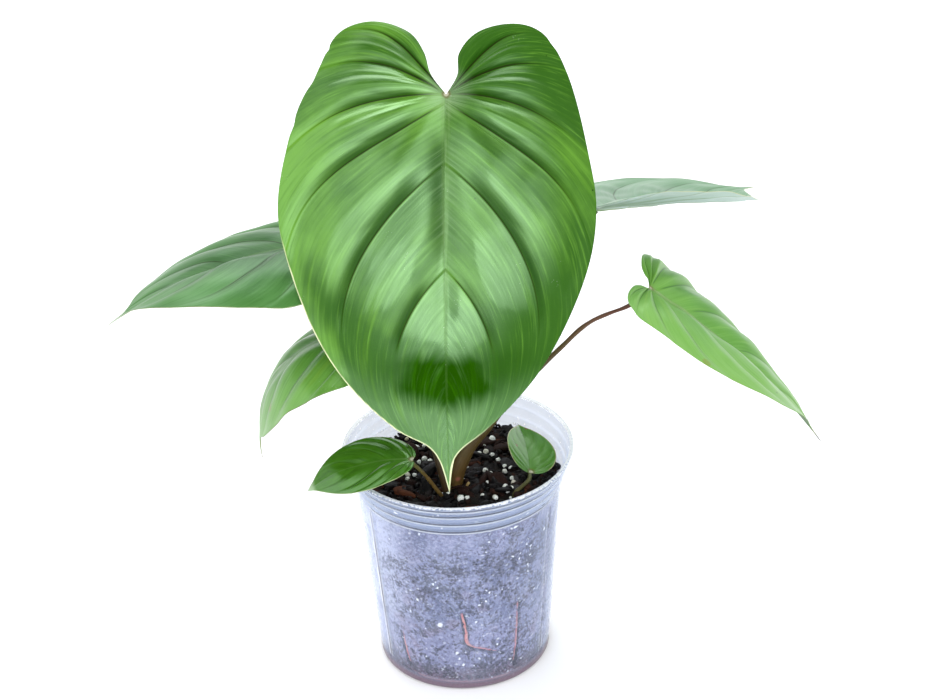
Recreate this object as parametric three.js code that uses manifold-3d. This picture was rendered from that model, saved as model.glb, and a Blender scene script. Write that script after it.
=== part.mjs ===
// A potted philodendron with quilted heart-shaped leaves, in a clear plastic nursery pot.
// Millimetres, +Z up. The pot stands on Z = 0 with its axis on the Z axis, and the big leaf
// hangs over its front, towards -Y.

import * as THREE from "three";
import { mergeVertices } from "three/addons/utils/BufferGeometryUtils.js";
import Module from "manifold-3d";

const wasm = await Module();
wasm.setup();

// Driving dimensions
const GAP = 0.3; // clearance between two pieces that touch
const POT = {
  height: 123,
  rimRadius: 60,
  wall: 0.9,
  segments: 48,
  fluteEvery: 4, // segments from one upright crease to the next, so twelve creases
  fluteDepth: 0.5,
  fluteFrom: 6,
  fluteTo: 100,
  drainHoles: 8,
  drainRadius: 3.5,
  drainCircle: 27,
};
const SOIL = { top: 106.3, floor: 3.5, segments: 34, chips: 30, perlite: 30 };
const BLADE_THICKNESS = 0.8;
const KEEL = 1.2; // how far the midrib stands out under a blade
const { degToRad, clamp, lerp, smoothstep, seededRandom } = THREE.MathUtils;

// Half outlines of a leaf: [distance from the midrib, distance from the leaf stalk towards the
// tip], from the notch round the lobe to the drip tip, on a blade as long as "length".
const HEART_WIDE = {
  length: 202.6,
  points: [
    [0, 0],
    [7.6, -10.1],
    [11.4, -22.4],
    [19.2, -34],
    [39, -40.9],
    [53.9, -35],
    [63.7, -14.7],
    [74.6, 10.7],
    [83, 56.1],
    [78.3, 83.6],
    [56.9, 134],
    [26.6, 167.4],
    [9.2, 177.9],
    [4.4, 185.1],
    [0, 202.6],
  ],
};
const HEART_NARROW = {
  length: 202.6,
  points: [
    [0, 0],
    [5.4, -10],
    [6.1, -22.4],
    [14.9, -33.6],
    [33.9, -38.4],
    [46.9, -33],
    [58.8, -12.6],
    [70.1, 31.3],
    [74.1, 60],
    [69.3, 90.7],
    [46.9, 137.4],
    [19.9, 167.7],
    [5.7, 179.7],
    [2, 186.3],
    [0, 202.6],
  ],
};
const OVATE = {
  length: 140,
  points: [
    [0, 0],
    [6, -2.5],
    [16, 0],
    [27, 12],
    [34, 30],
    [37, 52],
    [34, 76],
    [26, 98],
    [14, 118],
    [6, 129],
    [0, 140],
  ],
};

// The side veins of a half blade, from the lobe to the tip. Each has its start on the midrib as
// a share of the blade's length, the angle at which it leaves the midrib, its end as a share of
// the margin, the angle at which it arrives, and how high the strip behind it swells.
const HEART_VEINS = [
  [0, 135, 0, 135, 0.3],
  [0, 136, 0.22, 75, 0.6],
  [0, 119, 0.29, 70, 0.9],
  [0, 84, 0.42, 45, 1],
  [0.02, 50, 0.57, 12, 1],
  [0.18, 50, 0.79, -22, 1],
  [0.44, 47, 0.905, -38, 0.6],
  [0.68, 34, 0.955, -20, 0.2],
  [1, 20, 1, 0, 0],
];
const OVATE_VEINS = [
  [0, 95, 0, 95, 0.5],
  [0, 78, 0.2, 40, 1],
  [0, 54, 0.38, 20, 1],
  [0.05, 42, 0.58, -4, 1],
  [0.2, 38, 0.77, -18, 0.8],
  [0.46, 32, 0.91, -20, 0.4],
  [1, 20, 1, 0, 0],
];

// The leaves. A blade starts at "base", where its stalk ends, and runs towards "heading"
// (degrees from +X towards +Y) with a pitch that goes from the first to the second value, early
// along the blade where "droop" is under 1. fold and curl bend the left and the right half; the
// curl is in degrees per 100 mm.
const LEAVES = {
  front: {
    base: [1.3, 38.5, 303.9],
    heading: -93.8,
    sway: 0,
    pitch: [-42, -86],
    droop: 1,
    length: 202.6,
    width: 1,
    lobes: 1,
    lobeLift: 60,
    roll: [0, 0],
    fold: [7, 7],
    curl: [-22, -22],
    quilt: 4.2,
    outlines: [HEART_NARROW, HEART_WIDE],
    veins: HEART_VEINS,
    rows: 4,
    columns: 7,
    color: 0x4f9a34,
  },
  left: {
    base: [-57.6, 37.8, 224.8],
    heading: 187.9,
    sway: 16.8,
    pitch: [3.8, -28.2],
    droop: 1,
    length: 127.8,
    width: 1.04,
    lobes: 1,
    lobeLift: 30,
    roll: [12, 14.1],
    fold: [1.8, 11.7],
    curl: [-91.3, -33.5],
    quilt: 2.2,
    outlines: [HEART_WIDE, HEART_NARROW],
    veins: HEART_VEINS,
    rows: 3,
    columns: 6,
    color: 0x5f9663,
  },
  lower_left: {
    base: [-32.1, 4.4, 187.2],
    heading: 168.4,
    sway: 11.4,
    pitch: [19.3, -99.1],
    droop: 0.8,
    length: 123.4,
    width: 0.81,
    lobes: 1,
    lobeLift: 30,
    roll: [0.1, -11.2],
    fold: [-8.3, -8.4],
    curl: [-28.5, -41.9],
    quilt: 2,
    outlines: [HEART_WIDE, HEART_NARROW],
    veins: HEART_VEINS,
    rows: 3,
    columns: 6,
    color: 0x5b974a,
  },
  right: {
    base: [100.7, 12.2, 205],
    heading: -14.6,
    sway: 8.6,
    pitch: [-31.6, -56],
    droop: 1,
    length: 124.8,
    width: 1.06,
    lobes: 0.4,
    lobeLift: 164.6,
    roll: [-0.4, -12.1],
    fold: [10.9, 14.9],
    curl: [-95.7, -46.3],
    quilt: 2.2,
    outlines: [HEART_WIDE, HEART_NARROW],
    veins: HEART_VEINS,
    rows: 3,
    columns: 6,
    color: 0x83ba5b,
  },
  back: {
    base: [76.1, 59.6, 227.8],
    heading: 52.1,
    sway: -5.3,
    pitch: [-20.2, -15],
    droop: 1,
    length: 159,
    width: 0.95,
    lobes: 1,
    lobeLift: 45.1,
    roll: [-2.8, 16.9],
    fold: [-9.4, 13.7],
    curl: [-6.3, 28.5],
    quilt: 2.2,
    outlines: [HEART_WIDE, HEART_NARROW],
    veins: HEART_VEINS,
    rows: 3,
    columns: 6,
    color: 0x86b594,
  },
  small_left: {
    base: [-22.6, -36.2, 138.4],
    heading: 172.7,
    sway: -0.8,
    pitch: [1.6, -44.2],
    droop: 1,
    length: 60.4,
    width: 1.1,
    lobes: 1,
    lobeLift: 0,
    roll: [-4.4, -26.1],
    fold: [-3.1, 2.9],
    curl: [-23.9, -24.9],
    quilt: 0.7,
    outlines: [OVATE, OVATE],
    veins: OVATE_VEINS,
    rows: 2,
    columns: 5,
    color: 0x357a2c,
  },
  small_right: {
    base: [37, -16.6, 115.3],
    heading: 91.6,
    sway: 16,
    pitch: [28.7, 11.7],
    droop: 1,
    length: 32,
    width: 1.79,
    lobes: 1,
    lobeLift: 0,
    roll: [9.8, 2.3],
    fold: [34.6, 2.3],
    curl: [-21.3, -23.1],
    quilt: 0.5,
    outlines: [OVATE, OVATE],
    veins: OVATE_VEINS,
    rows: 2,
    columns: 5,
    color: 0x5f9f4e,
  },
};

// The leaf stalks, each from its foot up to its blade, with the radii along it.
const STALKS = {
  front: {
    points: [
      [-3, -4, 112],
      [-3, 2, 130],
      [-2, 16, 175],
      [0, 33, 235],
      [1.5, 42, 280],
    ],
    radii: [4, 3.6, 2.8, 2.4, 2.2, 2.1],
    color: 0x6b7a3c,
  },
  left: {
    points: [
      [-4, -3, 112],
      [-9, 6, 130],
      [-12, 26, 165],
      [-24, 40, 195],
      [-46, 42, 210],
      [-55, 39, 219],
    ],
    radii: [3.4, 2.8, 2.2, 1.9, 1.8, 1.7],
    color: 0x76603a,
  },
  lower_left: {
    points: [
      [-5, -16, 92],
      [-6.2, -17, 107],
      [-8.6, -15.5, 118],
      [-14, -10, 140],
      [-21, -4, 160],
      [-28, 1, 176],
    ],
    radii: [2.6, 2.4, 2.1, 1.8, 1.6, 1.5],
    color: 0x8a6a3a,
  },
  right: {
    points: [
      [-2.6, -10, 100],
      [-0.7, -11.5, 115.2],
      [6.5, -10, 129.7],
      [15.5, -8.5, 140.4],
      [30.4, -5, 156.7],
      [50.3, 1, 174.1],
      [69.5, 7, 189],
      [90.1, 10.5, 196],
    ],
    radii: [4.4, 4.4, 3.6, 2.4, 1.8, 1.7, 1.6, 1.5],
    color: 0x8c6248,
  },
  back: {
    points: [
      [-1, -2, 112],
      [6, 7, 126],
      [23, 26, 160],
      [44, 43, 193],
      [63, 54, 214],
    ],
    radii: [3.2, 2.7, 2.1, 1.8, 1.7, 1.6],
    color: 0x76603a,
  },
  small_left: {
    points: [
      [-7.5, -22.5, 98],
      [-8.9, -23.7, 107],
      [-11.4, -26.5, 113.4],
      [-16.9, -31, 125.6],
    ],
    radii: [1.2, 1.1, 1, 1],
    color: 0x8f6a33,
  },
  small_right: {
    points: [
      [27, -23.5, 98],
      [28.6, -22.6, 107],
      [33, -19.7, 109.6],
      [36.3, -17.3, 111.8],
    ],
    radii: [1.2, 1.1, 1, 1],
    color: 0x7d7433,
  },
};

// Roots pressed against the inside of the wall: [degrees round from the front, height].
const ROOTS = {
  root_front: {
    path: [
      [-1.5, 50],
      [0.8, 38],
      [2, 29.5],
      [12, 25.5],
      [25, 20.5],
    ],
    radius: 1,
  },
  root_right: {
    path: [
      [36.5, 50],
      [36, 36],
      [35.4, 22],
      [34.5, 10],
    ],
    radius: 1.1,
  },
  root_left: {
    path: [
      [-45, 30],
      [-43.5, 20],
      [-41.5, 10.5],
    ],
    radius: 0.9,
  },
  root_ring: {
    path: [
      [-62, 9],
      [-36, 4.6],
      [-8, 4],
      [20, 4],
      [42, 4.4],
      [60, 8],
    ],
    radius: 1.1,
  },
};

// Closed surfaces and solids

// Builds one closed indexed surface from loose triangles, and drops those with no area.
function closedGeometry(triangles) {
  const loose = new THREE.BufferGeometry().setFromPoints(triangles);
  return withoutSlivers(mergeVertices(loose, 1e-4));
}

function withoutSlivers(geometry) {
  const old = geometry.index.array;
  const kept = [];
  for (let i = 0; i < old.length; i += 3) {
    const [a, b, c] = [old[i], old[i + 1], old[i + 2]];
    if (a !== b && b !== c && c !== a) kept.push(a, b, c);
  }
  return geometry.setIndex(kept);
}

// Keeps only the positions of a three.js shape, with its shared vertices merged.
function bare(geometry) {
  geometry.deleteAttribute("normal");
  geometry.deleteAttribute("uv");
  return withoutSlivers(mergeVertices(geometry, 1e-4));
}

function solidOf(geometry) {
  return new wasm.Manifold(
    new wasm.Mesh({
      numProp: 3,
      vertProperties: geometry.attributes.position.array,
      triVerts: new Uint32Array(geometry.index.array),
    }),
  );
}

// A cut can leave a loose crumb behind, so only the largest body is kept.
function mainBody(solid) {
  return solid.decompose().reduce((best, body) => (body.volume() > best.volume() ? body : best));
}

function geometryOf(solid) {
  const mesh = solid.getMesh();
  return new THREE.BufferGeometry()
    .setAttribute("position", new THREE.BufferAttribute(mesh.vertProperties, 3))
    .setIndex(new THREE.BufferAttribute(mesh.triVerts, 1));
}

// A round profile of [radius, height] points, turned about the Z axis.
function turned(profile, segments) {
  const points = profile.map(([radius, height]) => new THREE.Vector2(radius, height));
  return bare(new THREE.LatheGeometry(points, segments).rotateX(Math.PI / 2));
}

// Moves every vertex by a function of its radius, angle from the front and height.
function reshaped(geometry, change) {
  const position = geometry.attributes.position;
  for (let i = 0; i < position.count; i++) {
    const radius = Math.hypot(position.getX(i), position.getY(i));
    const angle = Math.atan2(position.getX(i), -position.getY(i));
    const moved = change(radius, angle, position.getZ(i));
    position.setXYZ(i, moved.radius * Math.sin(angle), -moved.radius * Math.cos(angle), moved.height);
  }
  return geometry;
}

// A closed round stalk along a curve through the points, with its radius given along the way.
function stalkGeometry(points, radii, sides, steps, extra = 0) {
  const curve = new THREE.CatmullRomCurve3(points.map((p) => new THREE.Vector3(...p)));
  const frames = curve.computeFrenetFrames(steps);
  const ring = (i) => {
    const centre = curve.getPointAt(i / steps);
    const along = (i / steps) * (radii.length - 1);
    const before = Math.min(Math.floor(along), radii.length - 2);
    const radius = lerp(radii[before], radii[before + 1], along - before) + extra;
    return Array.from({ length: sides }, (_, j) => {
      const turn = (j / sides) * 2 * Math.PI;
      return centre
        .clone()
        .addScaledVector(frames.normals[i], radius * Math.cos(turn))
        .addScaledVector(frames.binormals[i], radius * Math.sin(turn));
    });
  };
  const rings = Array.from({ length: steps + 1 }, (_, i) => ring(i));
  const triangles = [];
  for (let i = 0; i < steps; i++)
    for (let j = 0; j < sides; j++) {
      const next = (j + 1) % sides;
      triangles.push(rings[i][j], rings[i][next], rings[i + 1][next]);
      triangles.push(rings[i][j], rings[i + 1][next], rings[i + 1][j]);
    }
  const [foot, head] = [curve.getPointAt(0), curve.getPointAt(1)];
  for (let j = 0; j < sides; j++) {
    const next = (j + 1) % sides;
    triangles.push(foot, rings[0][next], rings[0][j]);
    triangles.push(head, rings[steps][j], rings[steps][next]);
  }
  return closedGeometry(triangles);
}

// Leaf blades

// The vein rows of a half blade: row(k, r) gives the point at share r along vein k, in the
// outline's own plane, for any k between two veins as well.
function veinRows(outline, veins) {
  const margin = new THREE.CatmullRomCurve3(
    outline.points.map(([out, along]) => new THREE.Vector3(out, along, 0)),
  );
  margin.arcLengthDivisions = 600;
  const value = (k, column) => {
    const before = Math.min(Math.floor(k), veins.length - 2);
    return lerp(veins[before][column], veins[before + 1][column], k - before);
  };
  const vein = (k, r) => {
    const from = new THREE.Vector3(0, value(k, 0) * outline.length, 0);
    const to = margin.getPointAt(value(k, 2));
    const handle = 0.4 * from.distanceTo(to);
    const towards = (angle) => new THREE.Vector3(Math.sin(angle), Math.cos(angle), 0);
    const first = from.clone().addScaledVector(towards(degToRad(value(k, 1))), handle);
    const second = to.clone().addScaledVector(towards(degToRad(value(k, 3))), -handle);
    return new THREE.CubicBezierCurve3(from, first, second, to).getPoint(r);
  };
  // Behind the first vein the rows spread from that vein to the margin of the lobe.
  return (k, r) => (k >= 1 ? vein(k, r) : margin.getPointAt(veins[1][2] * r).lerp(vein(1, r), k));
}

// Where a blade's flat outline lies in space: place(q, p, h) is the point q to the left of the
// midrib, p along it from the stalk and h above the blade's own surface.
function bladePlace(leaf) {
  const steps = 240;
  const [from, to] = [-0.45 * leaf.length, 1.15 * leaf.length];
  const step = (to - from) / steps;
  const pitchAt = (p) => {
    const bend = (leaf.pitch[1] - leaf.pitch[0]) * clamp(p / leaf.length, 0, 1.15) ** leaf.droop;
    return degToRad(leaf.pitch[0] + bend + leaf.lobeLift * clamp(-p / leaf.length, 0, 1));
  };
  const headingAt = (p) => degToRad(leaf.heading + (leaf.sway * p) / leaf.length);
  const forwardAt = (p) => {
    const [heading, pitch] = [headingAt(p), pitchAt(p)];
    return new THREE.Vector3(
      Math.cos(heading) * Math.cos(pitch),
      Math.sin(heading) * Math.cos(pitch),
      Math.sin(pitch),
    );
  };
  const midrib = [new THREE.Vector3()];
  for (let i = 1; i <= steps; i++) {
    const middle = forwardAt(from + (i - 0.5) * step);
    midrib.push(midrib[i - 1].clone().addScaledVector(middle, step));
  }
  const midribAt = (p) => {
    const along = (p - from) / step;
    const before = clamp(Math.floor(along), 0, steps - 1);
    return midrib[before].clone().lerp(midrib[before + 1], along - before);
  };
  const shift = new THREE.Vector3(...leaf.base).sub(midribAt(0));
  return (q, p, h) => {
    const heading = headingAt(p);
    const roll = degToRad(leaf.roll[0] + leaf.roll[1] * clamp(p / leaf.length, -0.4, 1.1));
    const level = new THREE.Vector3(-Math.sin(heading), Math.cos(heading), 0);
    const upright = forwardAt(p).cross(level);
    const left = level.clone().multiplyScalar(Math.cos(roll)).addScaledVector(upright, Math.sin(roll));
    const normal = upright.multiplyScalar(Math.cos(roll)).addScaledVector(level, -Math.sin(roll));
    const side = q > 0 ? 0 : 1;
    const fold = degToRad(leaf.fold[side]);
    const curl = degToRad(leaf.curl[side]) / 100;
    const end = fold + curl * Math.abs(q);
    const across = (Math.sin(end) - Math.sin(fold)) / curl;
    const raised = (Math.cos(fold) - Math.cos(end)) / curl;
    return midribAt(p)
      .add(shift)
      .addScaledVector(left, Math.sign(q) * across)
      .addScaledVector(normal, raised + h);
  };
}

// The quilting: each strip between two veins swells, and the midrib lies in a groove.
function relief(leaf, k, r, q) {
  const strip = Math.min(Math.floor(k), leaf.veins.length - 2);
  const crown = Math.sin(Math.PI * (k - strip)) ** 0.7;
  const flattening = strip === 0 ? 1 : 0.75; // the rows of the first strip meet in one point
  const swell = smoothstep(r, 0, 0.25) * (1 - flattening * smoothstep(r, 0.55, 1));
  const groove = 0.4 * leaf.quilt * Math.exp(-((q / 6) ** 2));
  return leaf.quilt * leaf.veins[strip][4] * crown * swell - groove;
}

// A blade as one thin closed body.
function bladeGeometry(leaf) {
  const place = bladePlace(leaf);
  const strips = leaf.veins.length - 1;
  const triangles = [];
  for (const side of [1, -1]) {
    const outline = leaf.outlines[side > 0 ? 0 : 1];
    const row = veinRows(outline, leaf.veins);
    const scale = leaf.length / outline.length;
    const node = (i, j) => {
      const k = i / leaf.rows;
      const r = (j / leaf.columns) ** 1.3;
      const flat = row(k, r);
      const q = side * flat.x * scale * leaf.width;
      const p = flat.y * scale * (flat.y < 0 ? leaf.lobes : 1);
      const top = relief(leaf, k, r, q);
      const keel = KEEL * Math.exp(-((q / 2) ** 2)) * (1 - smoothstep(p / leaf.length, 0.3, 0.95));
      return {
        top: place(q, p, top),
        under: place(q, p, top - BLADE_THICKNESS - keel),
      };
    };
    const face = (a, b, c) => (side > 0 ? triangles.push(a, b, c) : triangles.push(a, c, b));
    const wall = (a, b) => {
      face(a.top, b.top, b.under);
      face(a.top, b.under, a.under);
    };
    const nodes = Array.from({ length: strips * leaf.rows + 1 }, (_, i) =>
      Array.from({ length: leaf.columns + 1 }, (_, j) => node(i, j)),
    );
    for (let i = 0; i < strips * leaf.rows; i++) {
      for (let j = 0; j < leaf.columns; j++) {
        const [a, b, c, d] = [nodes[i][j], nodes[i + 1][j], nodes[i + 1][j + 1], nodes[i][j + 1]];
        face(a.top, b.top, c.top);
        face(a.top, c.top, d.top);
        face(a.under, c.under, b.under);
        face(a.under, d.under, c.under);
      }
      wall(nodes[i][leaf.columns], nodes[i + 1][leaf.columns]);
    }
    for (let j = 0; j < leaf.columns; j++) wall(nodes[0][j], nodes[0][j + 1]);
  }
  return closedGeometry(triangles);
}

// The pot: a thin wall with three stepped bands under the lip, and a floor with drain holes.
const WALL = [
  [45.3, 1.2],
  [45.8, 8],
  [53, 98],
  [53.5, 105.2],
  [54.7, 106],
  [55.2, 110.9],
  [56.6, 111.7],
  [57, 116.6],
  [58.3, 117.4],
  [58.6, 121.2],
  [POT.rimRadius, 121.6],
];

function wallRadius(height) {
  const above = Math.max(1, WALL.findIndex(([, top]) => top >= height));
  const [[lowRadius, low], [highRadius, high]] = [WALL[above - 1], WALL[above]];
  return lerp(lowRadius, highRadius, (height - low) / (high - low));
}

function potSolid() {
  const under = [
    [0, 0],
    [15, 0],
    [17.5, 2],
    [36.5, 2],
    [38.5, 0],
    [44.3, 0],
  ];
  const lip = [
    [POT.rimRadius, POT.height],
    [58.2, POT.height],
  ];
  const inside = WALL.slice(1, -1)
    .reverse()
    .map(([radius, height]) => [radius - POT.wall, height + 0.5]);
  const floor = [
    [wallRadius(1.2) - POT.wall, 1.2],
    [38.2, 1.2],
    [36.2, 3.2],
    [17.8, 3.2],
    [15.3, 1.2],
    [0, 1.2],
  ];
  const body = turned([...under, ...WALL, ...lip, ...inside, ...floor], POT.segments);
  const spacing = (2 * Math.PI * POT.fluteEvery) / POT.segments;
  reshaped(body, (radius, angle, height) => {
    const onCrease = Math.abs(angle / spacing - Math.round(angle / spacing)) < 0.01;
    const creased = onCrease && radius > 44 && height > POT.fluteFrom && height < POT.fluteTo;
    return { radius: creased ? radius - POT.fluteDepth : radius, height };
  });
  let pot = solidOf(body);
  for (let i = 0; i < POT.drainHoles; i++) {
    const turn = ((i + 0.5) / POT.drainHoles) * 2 * Math.PI;
    const drill = new THREE.CylinderGeometry(POT.drainRadius, POT.drainRadius, 8, 12)
      .rotateX(Math.PI / 2)
      .translate(POT.drainCircle * Math.sin(turn), -POT.drainCircle * Math.cos(turn), 2);
    pot = pot.subtract(solidOf(bare(drill)));
  }
  return pot;
}

// The stem: a short upright rhizome that carries the leaf stalks, ringed by old leaf scars.
const STEM = {
  points: [
    [-3, -4, 84],
    [-3, -4, 100],
    [-3, -3.5, 112],
    [-3, -3, 122],
  ],
  radii: [6.5, 6.2, 6.6, 5.6, 6, 4.4],
  sides: 12,
  steps: 12,
};

function stemGeometry(extra = 0) {
  return stalkGeometry(STEM.points, STEM.radii, STEM.sides, STEM.steps, extra);
}

// A leaf stalk runs into its blade's base.
function stalkOf(name, extra = 0) {
  const stalk = STALKS[name];
  const head = bladePlace(LEAVES[name])(0, 1, 0).toArray();
  const sides = stalk.radii[0] > 2 ? 8 : 6;
  return stalkGeometry([...stalk.points, head], stalk.radii, sides, 2 * stalk.points.length + 2, extra);
}

// A block that stands on the underside of a blade's midrib, just clear of it. It cuts the head of
// the stalk flush with the blade.
function bladeTrimmer(leaf) {
  const size = 24;
  const place = bladePlace(leaf);
  const origin = place(0, 1, 0);
  const forward = place(0, 2, 0).sub(origin).normalize();
  const up = place(0, 1, 1).sub(origin);
  const left = up.clone().cross(forward);
  const clearance = BLADE_THICKNESS + KEEL + 0.4 * leaf.quilt + GAP;
  const turn = new THREE.Matrix4().makeBasis(forward, left, up);
  return bare(new THREE.BoxGeometry(size, size, size).applyMatrix4(turn))
    .translate(...origin.addScaledVector(up, size / 2 - clearance).toArray());
}

// Roots lie between the soil and the wall.
function rootGeometry(root, extra = 0) {
  const points = root.path.map(([degrees, height]) => {
    const radius = wallRadius(height) - POT.wall - POT.fluteDepth - GAP - root.radius;
    const angle = degToRad(degrees);
    return [radius * Math.sin(angle), -radius * Math.cos(angle), height];
  });
  const radii = [0.6, 1, 1, 0.5].map((share) => share * root.radius);
  return stalkGeometry(points, radii, 6, 10, extra);
}

// The soil: a turned body with an uneven top and sides, bark chips and perlite grains on top.
function soilSolid(keptOut) {
  seededRandom(11);
  const sideRadius = (height) => wallRadius(height) - POT.wall - POT.fluteDepth - GAP;
  const profile = [
    [0, SOIL.floor],
    [36, SOIL.floor],
    [38.5, 1.6],
    [sideRadius(1.6), 1.6],
  ];
  for (let height = 10; height < 104; height += 12) profile.push([sideRadius(height), height]);
  profile.push([sideRadius(104.6), 104.6]);
  for (const radius of [44, 34, 24, 14, 6, 0]) profile.push([radius, SOIL.top]);
  const body = turned(profile, SOIL.segments);
  reshaped(body, (radius, angle, height) => {
    const dent = height > 5 && height < SOIL.top ? 1.2 * seededRandom() : 0;
    const bump = height === SOIL.top ? 2 * (seededRandom() - 0.5) : 0;
    return { radius: radius - dent, height: height + bump };
  });
  const grains = [];
  const scatter = (geometry, reach, lift) => {
    const radius = reach * Math.sqrt(seededRandom());
    const angle = 2 * Math.PI * seededRandom();
    geometry.translate(radius * Math.sin(angle), -radius * Math.cos(angle), SOIL.top + lift);
    grains.push(solidOf(bare(geometry)));
  };
  for (let i = 0; i < SOIL.chips; i++) {
    const length = lerp(6, 12, seededRandom());
    const width = length * lerp(0.4, 0.7, seededRandom());
    const chip = new THREE.BoxGeometry(length, width, lerp(2.2, 3.4, seededRandom()))
      .rotateX(0.5 * (seededRandom() - 0.5))
      .rotateY(0.35 * (seededRandom() - 0.5))
      .rotateZ(2 * Math.PI * seededRandom());
    scatter(chip, 44, lerp(0, 0.8, seededRandom()));
  }
  for (let i = 0; i < SOIL.perlite; i++) {
    const grain = new THREE.IcosahedronGeometry(lerp(1.2, 2.1, seededRandom()), 0)
      .scale(1, lerp(0.75, 1, seededRandom()), 0.8)
      .rotateZ(2 * Math.PI * seededRandom());
    scatter(grain, 48, lerp(0.3, 1.2, seededRandom()));
  }
  let soil = solidOf(body).add(wasm.Manifold.union(grains));
  for (const geometry of keptOut) soil = soil.subtract(solidOf(geometry));
  return mainBody(soil);
}

// The assembly
const plant = new THREE.Group();
plant.name = "potted_philodendron";

function addPiece(name, geometry, material) {
  const mesh = new THREE.Mesh(geometry, new THREE.MeshStandardMaterial(material));
  mesh.name = name;
  plant.add(mesh);
}

addPiece("pot", geometryOf(potSolid()), {
  color: 0xdfe6f2,
  roughness: 0.25,
  metalness: 0,
  transparent: true,
  opacity: 0.45,
});

for (const [name, leaf] of Object.entries(LEAVES))
  addPiece(`blade_${name}`, bladeGeometry(leaf), { color: leaf.color, roughness: 0.4, metalness: 0 });

// Stalks are trimmed by their blade, the stem and the stalks that stand before them.
const placedStalks = [];
for (const [name, stalk] of Object.entries(STALKS)) {
  let solid = solidOf(stalkOf(name))
    .subtract(solidOf(stemGeometry(GAP)))
    .subtract(solidOf(bladeTrimmer(LEAVES[name])));
  for (const other of placedStalks) solid = solid.subtract(solidOf(stalkOf(other, GAP)));
  placedStalks.push(name);
  addPiece(`petiole_${name}`, geometryOf(mainBody(solid)), {
    color: stalk.color,
    roughness: 0.5,
    metalness: 0,
  });
}

addPiece("stem", stemGeometry(), { color: 0x6f5a34, roughness: 0.6, metalness: 0 });

for (const [name, root] of Object.entries(ROOTS))
  addPiece(name, rootGeometry(root), { color: 0xc98a80, roughness: 0.6, metalness: 0 });

const keptOut = [
  stemGeometry(GAP),
  ...placedStalks.map((name) => stalkOf(name, GAP)),
  ...Object.values(ROOTS).map((root) => rootGeometry(root, GAP)),
];
addPiece("soil", geometryOf(soilSolid(keptOut)), { color: 0x2c1f1a, roughness: 0.9, metalness: 0 });

export default plant;
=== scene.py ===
"""Looks of a potted philodendron with quilted heart-shaped leaves, in a clear nursery pot.

Sizes are millimetres in the tables, in the functions and in the values kept on a mesh's points.
They are metres on the objects and wherever a material measures from the object's origin. The frame
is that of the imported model: the pot stands on Z = 0 on the Z axis, and its front faces -Y.
"""

import math
from types import SimpleNamespace

import bmesh
import bpy
import numpy as np
from mathutils import Matrix, Vector


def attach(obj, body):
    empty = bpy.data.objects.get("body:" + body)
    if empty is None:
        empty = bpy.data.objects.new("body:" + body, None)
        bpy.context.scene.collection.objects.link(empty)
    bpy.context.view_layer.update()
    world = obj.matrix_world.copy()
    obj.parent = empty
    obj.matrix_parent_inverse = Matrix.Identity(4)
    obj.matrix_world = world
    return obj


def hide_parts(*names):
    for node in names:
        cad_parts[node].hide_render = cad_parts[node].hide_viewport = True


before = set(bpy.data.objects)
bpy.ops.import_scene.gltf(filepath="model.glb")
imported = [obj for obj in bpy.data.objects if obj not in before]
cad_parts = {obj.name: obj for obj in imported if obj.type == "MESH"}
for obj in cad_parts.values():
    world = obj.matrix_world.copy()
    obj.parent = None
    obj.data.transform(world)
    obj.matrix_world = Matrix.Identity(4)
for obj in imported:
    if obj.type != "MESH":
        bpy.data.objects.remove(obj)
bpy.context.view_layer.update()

MM = 0.001
BODY = "root"
FULL_TURN = 2 * math.pi
rng = np.random.default_rng(20)


# Camera: fitted to the pot's rim and base ellipses in the photograph.

PHOTO_WIDTH, PHOTO_HEIGHT = 933, 700
FOCAL_PIXELS, SENSOR_WIDTH = 2400, 36
CAMERA_PITCH, CAMERA_ROLL = math.radians(29.7), math.radians(2.2)
RIM_CENTRE = np.array([0, 0, 123.0])
RIM_PIXEL = (457.5, 445.3)
RIM_DEPTH = 1241.0


def make_camera():
    """The photograph's camera."""
    ahead = np.array([0, math.cos(CAMERA_PITCH), -math.sin(CAMERA_PITCH)])
    level, rising = np.array([1.0, 0, 0]), np.array([0, math.sin(CAMERA_PITCH), math.cos(CAMERA_PITCH)])
    right = math.cos(CAMERA_ROLL) * level - math.sin(CAMERA_ROLL) * rising
    up = math.sin(CAMERA_ROLL) * level + math.cos(CAMERA_ROLL) * rising
    scale = RIM_DEPTH / FOCAL_PIXELS
    place = RIM_CENTRE - RIM_DEPTH * ahead
    place = place - (RIM_PIXEL[0] - PHOTO_WIDTH / 2) * scale * right
    place = place + (RIM_PIXEL[1] - PHOTO_HEIGHT / 2) * scale * up
    data = bpy.data.cameras.new("camera")
    data.sensor_fit = "HORIZONTAL"
    data.sensor_width = SENSOR_WIDTH
    data.lens = SENSOR_WIDTH * FOCAL_PIXELS / PHOTO_WIDTH
    data.clip_start, data.clip_end = 0.05, 60
    camera = bpy.data.objects.new("camera", data)
    bpy.context.scene.collection.objects.link(camera)
    camera.matrix_world = Matrix(
        [[right[i], up[i], -ahead[i], place[i] * MM] for i in range(3)] + [[0, 0, 0, 1]]
    )
    bpy.context.scene.camera = camera


make_camera()


# Small tools

WAVES = 7
# A usual crest of that many waves, against the root mean square of their sum.
CREST = 1.6
CURVE_STEPS = 40
# Points that agree to one part in this many of a millimetre become one.
MERGE_CELLS = 2e4


def smoothstep(x, low, high):
    t = np.clip((x - low) / (high - low), 0, 1)
    return t * t * (3 - 2 * t)


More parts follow.
